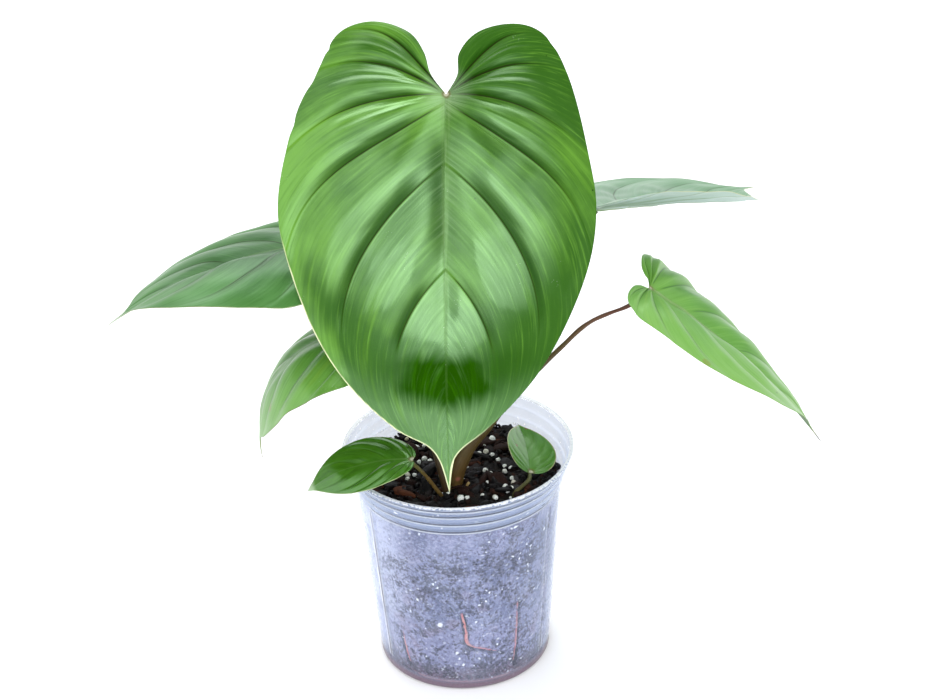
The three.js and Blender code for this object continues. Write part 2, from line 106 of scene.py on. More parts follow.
def ripples(points, wavelength, seed):
    """Smooth noise between about -1 and 1 at points (..., 3), a sum of waves in random directions."""
    draw = np.random.default_rng(seed)
    total = np.zeros(points.shape[:-1])
    for _ in range(WAVES):
        direction = draw.normal(size=3)
        direction /= np.linalg.norm(direction)
        length = wavelength * draw.uniform(0.7, 1.5)
        total += np.sin(points @ direction * (FULL_TURN / length) + draw.uniform(0, FULL_TURN))
    return total / math.sqrt(WAVES / 2) / CREST


def curve_through(points, samples):
    """A centripetal Catmull-Rom curve through the points, as evenly spaced points."""
    pts = np.array(points, float)
    pts = np.vstack([2 * pts[0] - pts[1], pts, 2 * pts[-1] - pts[-2]])
    pieces = []
    for i in range(1, len(pts) - 2):
        p0, p1, p2, p3 = pts[i - 1 : i + 3]
        d0, d1, d2 = (max(np.linalg.norm(b - a) ** 0.5, 1e-6) for a, b in ((p0, p1), (p1, p2), (p2, p3)))
        m1 = (p2 - p1) + d1 * ((p1 - p0) / d0 - (p2 - p0) / (d0 + d1))
        m2 = (p2 - p1) + d1 * ((p3 - p2) / d2 - (p3 - p1) / (d1 + d2))
        t = np.linspace(0, 1, CURVE_STEPS, endpoint=False)[:, None]
        pieces.append(
            (2 * t**3 - 3 * t**2 + 1) * p1
            + (t**3 - 2 * t**2 + t) * m1
            + (-2 * t**3 + 3 * t**2) * p2
            + (t**3 - t**2) * m2
        )
    dense = np.vstack(pieces + [pts[-2:-1]])
    along = np.concatenate([[0], np.cumsum(np.linalg.norm(np.diff(dense, axis=0), axis=1))])
    return interpolated(np.linspace(0, along[-1], samples), along, dense)


def interpolated(wanted, along, table):
    """Rows of the table at the wanted places along it."""
    return np.stack([np.interp(wanted, along, table[:, i]) for i in range(table.shape[1])], -1)


def make_piece(name, vertices, faces, material, node, values):
    """A mesh object from points in millimetres, riding on the plant and standing for a CAD node."""
    mesh = bpy.data.meshes.new(name)
    mesh.from_pydata((vertices * MM).tolist(), [], faces.tolist())
    for label, numbers in values.items():
        attribute = mesh.attributes.new(label, "FLOAT", "POINT")
        attribute.data.foreach_set("value", np.asarray(numbers, np.float32))
    mesh.polygons.foreach_set("use_smooth", np.ones(len(faces), bool))
    mesh.update()
    piece = bpy.data.objects.new(name, mesh)
    bpy.context.scene.collection.objects.link(piece)
    mesh.materials.append(material)
    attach(piece, BODY)
    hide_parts(node)
    return piece


def merged(vertices, faces, values):
    """Joins vertices that lie at one place and drops the faces that close up."""
    keys = np.round(vertices * MERGE_CELLS).astype(np.int64)
    _, first, where = np.unique(keys, axis=0, return_index=True, return_inverse=True)
    faces = where.reshape(-1)[faces]
    is_open = (faces != np.roll(faces, 1, axis=1)).all(1)
    return vertices[first], faces[is_open], {key: column[first] for key, column in values.items()}


def grid_faces(index, flip=False):
    """Triangles of a grid of vertex numbers."""
    a, b, c, d = index[:-1, :-1], index[1:, :-1], index[1:, 1:], index[:-1, 1:]
    faces = np.concatenate([np.stack([a, b, c], -1).reshape(-1, 3), np.stack([a, c, d], -1).reshape(-1, 3)])
    return faces[:, ::-1] if flip else faces


def ring_numbers(rings, around):
    """Vertex numbers of closed rings: a grid whose last column is its first again."""
    number = np.arange(rings * around).reshape(rings, around)
    return np.hstack([number, number[:, :1]])


# Materials


class Field:
    """A value on the surface: arithmetic on it makes math nodes."""

    def __init__(self, nodes, socket):
        self.nodes, self.socket = nodes, socket

    def __add__(self, other):
        return self.nodes.math("ADD", self, other)

    def __sub__(self, other):
        return self.nodes.math("SUBTRACT", self, other)

    def __rsub__(self, other):
        return self.nodes.math("SUBTRACT", other, self)

    def __mul__(self, other):
        return self.nodes.math("MULTIPLY", self, other)

    def at_least(self, other):
        return self.nodes.math("MAXIMUM", self, other)

    def at_most(self, other):
        return self.nodes.math("MINIMUM", self, other)

    def above(self, limit):
        """1 where the value is above the limit, else 0."""
        return self.nodes.math("GREATER_THAN", self, limit)

    def ramp(self, start, end, at_start=0.0, at_end=1.0):
        """A smooth step from at_start, where the value is at start, to at_end, where it is at end."""
        ends = {"Value": self, "From Min": start, "From Max": end, "To Min": at_start, "To Max": at_end}
        return self.nodes.add("MapRange", 0, ends, interpolation_type="SMOOTHSTEP")


class Nodes:
    """A node tree, with short calls for the usual nodes."""

    def __init__(self, tree):
        self.tree = tree

    def put(self, value, socket):
        if isinstance(value, Field):
            self.tree.links.new(value.socket, socket)
        else:
            socket.default_value = (*value, 1) if socket.type == "RGBA" else value

    def add(self, kind, output, inputs=None, **settings):
        """A new node's output, with the node's inputs linked or set, each by its name or number."""
        made = self.tree.nodes.new("ShaderNode" + kind)
        for key, value in settings.items():
            setattr(made, key, value)
        for key, value in (inputs or {}).items():
            self.put(value, made.inputs[key])
        return Field(self, made.outputs[output])

    def math(self, operation, a, b=0.0):
        return self.add("Math", 0, {0: a, 1: b}, operation=operation)

    def coordinate(self, vector, axis):
        return self.add("SeparateXYZ", axis, {0: vector})


class Shader(Nodes):
    """The nodes of a material around one Principled shader."""

    def __init__(self, name):
        self.material = bpy.data.materials.new(name)
        self.material.use_nodes = True
        super().__init__(self.material.node_tree)
        self.tree.nodes.clear()
        self.place = self.add("TexCoord", "Object")

    def finish(self, **values):
        """The material, with these values on its Principled shader."""
        inputs = {key.replace("_", " "): value for key, value in values.items()}
        shader = self.add("BsdfPrincipled", 0, inputs)
        output = self.tree.nodes.new("ShaderNodeOutputMaterial")
        self.put(shader, output.inputs["Surface"])
        return self.material

    def vector(self, x, y, z=0.0):
        return self.add("CombineXYZ", 0, {0: x, 1: y, 2: z})

    def attribute(self, name):
        return self.add("Attribute", "Fac", attribute_name=name)

    def noise(self, scale, detail=2.0, roughness=0.5, where=None):
        inputs = {"Vector": where or self.place, "Scale": scale, "Detail": detail, "Roughness": roughness}
        return self.add("TexNoise", "Fac", inputs)

    def cells(self, scale, where=None, output="Distance"):
        return self.add("TexVoronoi", output, {"Vector": where or self.place, "Scale": scale})

    def stirred(self, scale, reach):
        """Places moved about at random, up to the reach in metres."""
        noise = self.add("TexNoise", "Color", {"Vector": self.place, "Scale": scale})
        inputs = {0: noise, 1: (reach, reach, reach), 2: self.place}
        return self.add("VectorMath", 0, inputs, operation="MULTIPLY_ADD")

    def near(self, spot, start, end, at_start=0.0, at_end=1.0, where=None):
        """A step by the distance in millimetres from a spot, which is in millimetres too."""
        spot = tuple(c * MM for c in spot)
        distance = self.add("VectorMath", "Value", {0: where or self.place, 1: spot}, operation="DISTANCE")
        return distance.ramp(start * MM, end * MM, at_start, at_end)

    def mix(self, share, a, b):
        return self.add("Mix", 2, {0: share, 6: a, 7: b}, data_type="RGBA")

    def layers(self, colour, coats):
        """The colour under coats, each with the share that it covers."""
        for share, coat in coats:
            colour = self.mix(share, colour, coat)
        return colour

    def bump(self, height, distance, strength=1.0):
        return self.add("Bump", 0, {"Height": height, "Distance": distance, "Strength": strength})


# Set apart in the noise, so that the two halves of a blade don't mirror each other.
HALF_SHIFT = 2.7
DUST_AND_SHEEN, RUST, MOSS = (0.3, 0.4, 0.25), (0.16, 0.06, 0.03), (0.02, 0.07, 0.004)
HAIR_AND_SHEEN, JOINT_RING, JOINT = (0.13, 0.2, 0.1), (0.12, 0.045, 0.02), (0.42, 0.4, 0.3)


def leaf_material(name, look, marks):
    """Leaf tissue: streaks along the veins, painted shade in the creases, olive midrib, pale margin and
    underside.

    Distances are millimetres: edge from the margin, vein from the nearest side vein, across from the
    midrib and base from the junction. mid counts half widths of the midrib, k the side veins from the
    lobes to the tip, and r is the share of the way along a vein.
    """
    s = Shader(name)
    k, r, edge, vein, mid, under, base, pale_rim, half, across = map(s.attribute, LEAF_VALUES)
    own = half * HALF_SHIFT

    def by_side(left, right):
        """Numbers for the two halves of the blade, as the camera sees the largest leaf."""
        return own.ramp(0, HALF_SHIFT, left, right)

    def along_veins(over, down, detail, roughness=0.5, shift=0.0):
        where = s.vector(k * over, r * down, own + (look.seed + shift))
        return s.noise(1.0, detail, roughness, where)

    broad, streak, fine = along_veins(1.1, 1.8, 2), along_veins(8, 1.6, 3, 0.6), along_veins(20, 3, 3, 0.65)
    yellow = along_veins(5, 1.1, 2, 0.5, 3.3)
    blotch = s.noise(60, 3)
    on_right, in_lobe = by_side(0, 1), k.ramp(3.2, 2.3)
    shade = broad * 0.44 + streak * 0.36 + blotch * 0.25
    # Painted light: the blade is lighter towards its margin, where light shines through it.
    outer = edge.ramp(40, 4, 0, look.outer) * by_side(1, look.right_side)
    shade = shade + outer * base.ramp(100, 122, 1, look.outer_end)
    # Painted shade: on one side a dark band follows the margin of the blade's lower half, with a lighter
    # band right at the margin.
    trough = edge.ramp(9, 3, 0, 0.55) - edge.ramp(6, 14) * edge.ramp(34, 18)
    low_left = base.ramp(98, 126, 0, look.trough) * by_side(1, 0)
    shade = shade + low_left * (trough * base.ramp(165, 140))
    # Painted shade: a dark patch where the blade bends down before its drip tip, standing for the reflection
    # missing there; it reaches further on one side.
    reach = base + streak * 9.0
    patch = reach.ramp(130, 141) * (reach + across * 0.25).ramp(170, 157)
    sideways = across + blotch * 14.0 - (base - 130.0) * 0.45
    spread = (on_right * sideways.ramp(62, 8)).at_least(sideways.ramp(42, 17))
    patch = patch * spread * fine.ramp(0.75, 0.5, 0.86, 1) * look.rubbed
    # The colour is painted darker around the dark patch too, and it is darker on the right half past its
    # middle.
    near_patch = base.ramp(118, 138) * across.ramp(60, 25, 0, look.dark_end)
    near_patch = near_patch + on_right * base.ramp(95, 125, 0, look.dark_right)
    # Painted shade: the lobes are darker.
    shade = shade - near_patch * base.ramp(176, 152, 0.4, 1) - in_lobe * look.dark_lobes
    flecks = yellow.ramp(0.56, 0.76, 0, look.flecks) * edge.ramp(50, 18, 0.15, 1)
    # Painted shade on the side of each crease that faces the leaf's base, where the surface turns away from
    # the light.
    part = s.math("FRACT", k)
    narrow = r.ramp(0.28, 0.55).at_least(k.ramp(5.0, 5.3))
    inner_bank = part.ramp(look.bank_from + 0.12, 0.97).at_least(1.0 - narrow)
    bank = part.ramp(look.bank_from, 0.95).at_most(inner_bank) * r.ramp(0.04, 0.22) * r.ramp(0.92, 0.45)
    bank = bank * k.ramp(look.last_vein + 0.02, look.last_vein - 0.02)
    bank = bank * base.ramp(look.veins_end, look.veins_end - 14)
    bank = bank * by_side(1, look.weak_end).at_least(k.ramp(5.3, 5.0))
    # Painted shade in the groove beside the midrib, weaker on one half.
    groove = across.ramp(13, 3) * base.ramp(14, 32) * base.ramp(95, 70) * by_side(1, 0.4)
    # A thin dark line on each side vein: partly the vein's own colour and partly painted shade at the bottom
    # of its crease.
    line = vein.ramp(0.6, 0.15) * r.ramp(0.03, 0.1) * r.ramp(0.95, 0.5)
    line = line * k.ramp(look.last_vein + 0.6, look.last_vein + 0.3)
    line = line * base.ramp(look.veins_end, look.veins_end - 12, 0, look.line)
    threads = s.noise(1.0, 2, 0.6, s.vector(mid * 4.5, base * 0.05, look.seed))
    rib = s.mix(threads.ramp(0.35, 0.65), look.midrib, look.midrib_light)
    # Pale greyish streaks by the midrib, partly hairs and partly painted sheen.
    hairs = mid.ramp(5.5, 1.2) * fine.ramp(0.45, 0.7, 0, look.hairs)
    dots = s.cells(800).ramp(0.2, 0.1) * s.noise(130, 1).ramp(0.6, 0.68)
    dots = dots * mid.ramp(2.2, 1.0).at_least(s.noise(24, 1).ramp(0.62, 0.7, 0, 0.6))
    back = s.layers(s.mix(streak.ramp(0.3, 0.7, 0, 0.4), look.back, look.back_light), [
        (vein.ramp(1.6, 0.5, 0, 0.5), look.midrib_light),
        (mid.ramp(1.1, 0.8), look.midrib_light),
    ])
    tip_start, tip_end, tip_pale, tip_dark = look.tip
    tip_middle = (tip_start + tip_end) / 2
    colour = s.layers(s.mix(shade.ramp(*look.shades), look.dark, look.light), [
        (flecks * by_side(1, max(look.right_side, 0.3)), look.yellow),
        (fine.ramp(0.5, 0.78, 0, 0.62), look.light),
        (fine.ramp(0.5, 0.25, 0, 0.42), look.dark),
        # The painted dark patch, in streaks.
        (patch, s.mix(streak.ramp(0.5, 0.75, 0, 0.7), look.patch, look.patch_light)),
        # Painted shade in the creases and in the groove beside the midrib.
        (bank * streak.ramp(0.25, 0.65, look.bank - 0.3, look.bank), look.deep),
        (groove * look.groove, look.deep),
        (line, look.vein),
        (mid.ramp(1.3, 0.5, 0, look.midrib_share) * base.ramp(116, 132, 1, look.rib_end), rib),
        # A pale fan at the junction, partly dust and partly painted sheen.
        (base.ramp(17, 3, 0, look.powder) * fine.ramp(0.35, 0.65, 0.3, 1), DUST_AND_SHEEN),
        (hairs * base.ramp(10, 40) * base.ramp(125, 105), HAIR_AND_SHEEN),
        (dots * 0.7, look.dots),
        (s.cells(210).ramp(0.14, 0.07) * s.noise(33, 1).ramp(0.67, 0.72), look.speck),
        (base.ramp(3.0, 1.6, 0, 0.5), JOINT_RING),
        (base.ramp(1.6, 0.8, 0, 0.9), JOINT),
        *((s.near(spot, size, size * 0.6, 0, 0.85), mark) for spot, size, mark in marks),
        (under, back),
        (edge.ramp(look.rim, look.rim * 0.4) * pale_rim, look.margin),
        (base.ramp(tip_start, tip_middle), tip_pale),
        (base.ramp(tip_middle, tip_end), tip_dark),
    ])
    # The wax lies in streaks. It is thinner in the creases, on the lobes, outwards along the side
    # veins and towards one margin, and it is missing on the painted dark patch.
    outward = r.ramp(0.15, 0.75, look.near_wax, look.far_wax)
    outward = outward.at_least(k.ramp(look.last_vein - 0.15, look.last_vein + 0.1, 0, 0.85))
    outward = outward.at_least(base.ramp(118, 150, 0, 0.7))
    past_veins = base.ramp(look.veins_end - 8, look.veins_end)
    matt = edge.ramp(34, 10, 0, look.matt_side) * on_right
    matt_end = edge.ramp(48, 16, 0, look.matt_side) * base.ramp(100, 122)
    matt_end = matt_end * on_right.at_least(edge.ramp(2, 9, 0.4, 1)) * by_side(0.8, 1)
    matt = (matt.at_least(matt_end) * base.ramp(165, 140)).at_least(patch)
    wax = (1.0 - matt) * look.specular
    for share in (
        outward, fine.ramp(0.3, 0.7, 0.8, 1.15), bank.ramp(0, 1, 1, 1 - look.bank_wax),
        vein.ramp(0.4, 1.5, look.vein_wax, 1).at_least(past_veins), mid.ramp(1.3, 0.6, 1, 0.6),
        k.ramp(1.9, 1.2, 1, look.lobe_wax), in_lobe.ramp(0, 1, 1, look.ear_wax),
        groove.ramp(0, 1, 1, 0.3), base.ramp(152, 172, 1, look.tip_wax),
    ):
        wax = wax * share
    rough = (streak + under * 0.6).ramp(0.2, 1.2, *look.gloss) * base.ramp(95, 125, 1, look.glossy_end)
    height = streak * 0.5 + fine * 0.4 + s.noise(1900, 2) * 0.1
    return s.finish(
        Base_Color=colour, Roughness=rough, IOR=look.ior, Specular_IOR_Level=wax, Specular_Tint=look.sheen,
        Normal=s.bump(height, 0.00012, base.ramp(100, 145, look.ribbing, look.calm)),
    )


# Leaf blades: the same surfaces as the solids, with the fine relief of the real blade

# An outline is its length and points of one half: distance from the midrib, place along it.
HEART_LENGTH = 202.6
HEART_WIDE = (HEART_LENGTH, [
    (0, 0), (7.6, -10.1), (11.4, -22.4), (19.2, -34), (39, -40.9), (53.9, -35), (63.7, -14.7),
    (74.6, 10.7), (83, 56.1), (78.3, 83.6), (56.9, 134), (26.6, 167.4), (9.2, 177.9), (4.4, 185.1),
    (0, HEART_LENGTH),
])
HEART_NARROW = (HEART_LENGTH, [
    (0, 0), (5.4, -10), (6.1, -22.4), (14.9, -33.6), (33.9, -38.4), (46.9, -33), (58.8, -12.6),
    (70.1, 31.3), (74.1, 60), (69.3, 90.7), (46.9, 137.4), (19.9, 167.7), (5.7, 179.7), (2, 186.3),
    (0, HEART_LENGTH),
])
OVATE = (140, [
    (0, 0), (6, -2.5), (16, 0), (27, 12), (34, 30), (37, 52), (34, 76), (26, 98), (14, 118),
    (6, 129), (0, 140),
])
# Per vein: start on the midrib, leaving angle, end on the margin, arriving angle, swell.
HEART_VEINS = np.array([
    (0, 135, 0, 135, 0.3), (0, 136, 0.22, 75, 0.6), (0, 119, 0.29, 70, 0.9), (0, 84, 0.42, 45, 1),
    (0.02, 50, 0.57, 12, 1), (0.18, 50, 0.79, -22, 1), (0.44, 47, 0.905, -38, 0.6),
    (0.68, 34, 0.955, -20, 0.2), (1, 20, 1, 0, 0),
])
OVATE_VEINS = np.array([
    (0, 95, 0, 95, 0.5), (0, 78, 0.2, 40, 1), (0, 54, 0.38, 20, 1), (0.05, 42, 0.58, -4, 1),
    (0.2, 38, 0.77, -18, 0.8), (0.46, 32, 0.91, -20, 0.4), (1, 20, 1, 0, 0),
])

HEART_LEAF = dict(
    outlines=(HEART_WIDE, HEART_NARROW), veins=HEART_VEINS, rows=16, columns=44, quilt=2.2, lobes=1,
    droop=1, calm=0.6, smooth_heart=0, round_v=0, bays=(),
)
SMALL_LEAF = HEART_LEAF | dict(
    outlines=(OVATE, OVATE), veins=OVATE_VEINS, rows=12, columns=32, lobe_lift=0,
    pale_rim=((0, 0.1, 0.8), (0, 0.1, 0.8)),
)
LEAVES = {
    "front": HEART_LEAF | dict(
        base=(1.3, 38.5, 303.9), heading=-93.8, sway=0, pitch=(-42, -86), length=HEART_LENGTH, width=1,
        lobe_lift=60, roll=(0, 0), fold=(7, 7), curl=(-22, -22), quilt=4.2,
        outlines=(HEART_NARROW, HEART_WIDE), rows=24, columns=64,
        pale_rim=((0.8, 0.9, 1), (0.32, 0.45, 1)), calm=0.95, smooth_heart=0.7, round_v=0.12,
        bays=((-1, 1.5, 0.012, 0.08), (-1, 2.15, 0.01, 0.1), (-1, 2.7, 0.01, 0.08), (1, 1.3, 0.008, 0.15)),
    ),
    "left": HEART_LEAF | dict(
        base=(-57.6, 37.8, 224.8), heading=187.9, sway=16.8, pitch=(3.8, -28.2), length=127.2,
        width=1.04, lobe_lift=30, roll=(12, 14.1), fold=(1.8, 11.7), curl=(-91.3, -33.5),
        pale_rim=((-0.2, 0.1, 0.7), (-0.2, 0.1, 0.6)),
    ),
    "lower_left": HEART_LEAF | dict(
        base=(-32.1, 4.4, 187.2), heading=168.4, sway=11.4, pitch=(19.3, -99.1), droop=0.8,
        length=123.4, width=0.81, lobe_lift=30, roll=(0.1, -11.2), fold=(-8.3, -8.4),
        curl=(-28.5, -41.9), quilt=2, pale_rim=((0.1, 0.3, 0.8), (0.1, 0.3, 0.7)),
    ),
    "right": HEART_LEAF | dict(
        base=(100.7, 12.2, 205), heading=-14.6, sway=8.6, pitch=(-31.6, -56), length=124.2,
        width=1.06, lobes=0.4, lobe_lift=164.6, roll=(-0.4, -12.1), fold=(10.9, 14.9),
        curl=(-95.7, -46.3), pale_rim=((0, 0.2, 0.5), (0, 0.2, 0.6)),
    ),
    "back": HEART_LEAF | dict(
        base=(76.1, 59.6, 227.8), heading=52.1, sway=-5.3, pitch=(-20.2, -15), length=159,
        width=0.95, lobe_lift=45.1, roll=(-2.8, 16.9), fold=(-9.4, 13.7), curl=(-6.3, 28.5),
        pale_rim=((-0.2, 0.1, 0.9), (-0.2, 0.1, 0.9)),
    ),
    "small_left": SMALL_LEAF | dict(
        base=(-22.6, -36.2, 138.4), heading=172.7, sway=-0.8, pitch=(1.6, -44.2), length=60.4,
        width=1.1, roll=(-4.4, -26.1), fold=(-3.1, 2.9), curl=(-23.9, -24.9), quilt=0.7,
    ),
    "small_right": SMALL_LEAF | dict(
        base=(37, -16.6, 115.3), heading=91.6, sway=16, pitch=(28.7, 11.7), length=32, width=1.79,
        roll=(9.8, 2.3), fold=(34.6, 2.3), curl=(-21.3, -23.1), quilt=0.25,
    ),
}
LEAVES = {name: SimpleNamespace(**leaf) for name, leaf in LEAVES.items()}
BLADE_THICKNESS = 0.55
MARGIN_BEAD = 0.12
KEEL = 1.6
BLADE_STEPS = 240
EDGE_STEPS = 700
# How many points are compared with a line at once, to keep the tables small.
BATCH = 4000


class Blade:
    """Where a blade's flat outline lies in space."""

    def __init__(self, leaf):
        self.leaf = leaf
        self.stations = np.linspace(-0.45 * leaf.length, 1.15 * leaf.length, BLADE_STEPS + 1)
        middles = (self.stations[1:] + self.stations[:-1]) / 2
        step = self.stations[1] - self.stations[0]
        walked = np.vstack([np.zeros(3), np.cumsum(self.forward(middles) * step, axis=0)])
        self.midrib = walked - interpolated(0, self.stations, walked) + np.array(leaf.base)

    def heading(self, p):
        return np.radians(self.leaf.heading + self.leaf.sway * p / self.leaf.length)

    def forward(self, p):
        leaf, share = self.leaf, p / self.leaf.length
        bend = (leaf.pitch[1] - leaf.pitch[0]) * np.clip(share, 0, 1.15) ** leaf.droop
        pitch = np.radians(leaf.pitch[0] + bend + leaf.lobe_lift * np.clip(-share, 0, 1))
        heading, level = self.heading(p), np.cos(pitch)
        return np.stack([np.cos(heading) * level, np.sin(heading) * level, np.sin(pitch)], -1)

    def place(self, q, p, h):
        """The point q to the left of the midrib, p along it and h above the surface."""
        leaf = self.leaf
        heading = self.heading(p)
        roll = np.radians(leaf.roll[0] + leaf.roll[1] * np.clip(p / leaf.length, -0.4, 1.1))
        level = np.stack([-np.sin(heading), np.cos(heading), np.zeros_like(heading)], -1)
        upright = np.cross(self.forward(p), level)
        turn, lean = np.cos(roll)[..., None], np.sin(roll)[..., None]
        left = level * turn + upright * lean
        normal = upright * turn - level * lean
        fold = np.radians(np.where(q > 0, *leaf.fold))
        curl = np.radians(np.where(q > 0, *leaf.curl)) / 100
        end = fold + curl * np.abs(q)
        across = (np.sin(end) - np.sin(fold)) / curl
        raised = (np.cos(fold) - np.cos(end)) / curl
        midrib = interpolated(p, self.stations, self.midrib)
        return midrib + left * (np.sign(q) * across)[..., None] + normal * (raised + h)[..., None]


def nearest_gap(points, line):
    """Distance from each point to the nearest point of a line."""
    batches = [points[i : i + BATCH, None] - line[None] for i in range(0, len(points), BATCH)]
    return np.concatenate([np.sqrt((gaps**2).sum(-1)).min(1) for gaps in batches])


class HalfOutline:
    """The fan of veins over one half of a blade, laid flat."""

    def __init__(self, outline, veins):
        self.length, points = outline
        self.veins = veins
        self.edge = curve_through(points, EDGE_STEPS)

    def margin(self, share):
        return interpolated(share, np.linspace(0, 1, EDGE_STEPS), self.edge)

    def rows(self, k, r):
        """Points at share r along vein k, for k (rows) by r (columns)."""
        table = interpolated(np.maximum(k, 1), range(len(self.veins)), self.veins)
        start, end = table[:, 0], table[:, 2]
        leave, arrive = np.radians(table[:, 1]), np.radians(table[:, 3])
        a = np.stack([np.zeros_like(k), start * self.length], -1)
        b = self.margin(end)
        handle = 0.4 * np.linalg.norm(b - a, axis=-1, keepdims=True)
        c = a + handle * np.stack([np.sin(leave), np.cos(leave)], -1)
        d = b - handle * np.stack([np.sin(arrive), np.cos(arrive)], -1)
        a, b, c, d, t = a[:, None], b[:, None], c[:, None], d[:, None], r[None, :, None]
        fan = a * (1 - t) ** 3 + 3 * c * t * (1 - t) ** 2 + 3 * d * t * t * (1 - t) + b * t**3
        first = np.flatnonzero(k >= 1)[0]
        lobe = self.margin(self.veins[1, 2] * r)[None]
        share = np.minimum(k, 1)[:, None, None]
        return np.where((k >= 1)[:, None, None], fan, lobe * (1 - share) + fan[first] * share)

    def to_edge(self, flat):
        """Distance from each point to the margin."""
        return nearest_gap(flat.reshape(-1, 2), self.edge[::2]).reshape(flat.shape[:-1])


CROWN_LEAN = 1.35


def relief(leaf, k, r, q, p, seed):
    """Height of the quilted surface, with the smaller veins between the side veins."""
    quilt, veins, share = leaf.quilt, leaf.veins, p / leaf.length
    strip = np.minimum(np.floor(k), len(veins) - 2).astype(int)
    part = np.clip(k - strip, 0, 1)
    # The crown of a strip lies nearer to its far vein, where it drops steeply into the crease.
    lean = np.where(strip == 0, 1, CROWN_LEAN)
    crown = np.clip(np.sin(np.pi * part**lean), 0, 1) ** 0.85
    flattening = np.where(strip == 0, 1, 0.75)
    swell = smoothstep(r, 0, 0.25) * (1 - flattening * smoothstep(r, 0.55, 1))
    height = quilt * veins[strip, 4] * crown * swell * (1 - leaf.smooth_heart * (strip >= 6))
    height = height - 0.4 * quilt * np.exp(-((q / 6) ** 2))
    draw = np.random.default_rng(seed)
    middle = np.sin(np.pi * np.clip(r, 0, 1)) ** 1.3
    for low, high, deep in ((0.3, 0.45, 0.15), (0.52, 0.68, 0.09)):
        centre, depth = draw.uniform(low, high, len(veins)), draw.uniform(0.3 * deep, deep, len(veins))
        furrow = np.exp(-(((part - centre[strip]) / 0.075) ** 2)) * middle
        height = height - quilt * depth[strip] * veins[strip, 4] * furrow
    minor = np.sin(FULL_TURN * 6 * k + 1.5 * np.sin(5 * k)) * middle * smoothstep(r, 0.04, 0.2)
    height = (height + 0.015 * quilt * minor) * (1 - leaf.calm * smoothstep(share, 0.5, 0.66))
    return height + leaf.round_v * smoothstep(share, 0.45, 0.62) * (np.hypot(q, 18) - np.abs(q))


def midrib_width(leaf, p):
    """Half the width of the pale midrib band."""
    return leaf.length / HEART_LENGTH * (0.35 + 2.3 * (1 - np.clip(p / leaf.length, 0, 1)) ** 1.6)


# The values kept on a blade's points; leaf_material says what they are.
LEAF_VALUES = (
    "vein_number", "vein_share", "edge_mm", "vein_mm", "midrib_mm", "underside", "base_mm", "pale_rim",
    "half", "across_mm",
)
EDGE_COLUMN, UNDERSIDE_COLUMN = LEAF_VALUES.index("edge_mm"), LEAF_VALUES.index("underside")
# Points along a vein lie closer together near the midrib.
COLUMN_CROWDING = 1.12
# Height and length of gentle waves, over the whole blade and near its margin.
BLADE_WAVE, MARGIN_WAVE = (0.25, 22), (0.35, 30)
# Height and half width of a side vein's ridge on the underside.
VEIN_RIDGE, VEIN_HALF_WIDTH = 0.45, 0.9


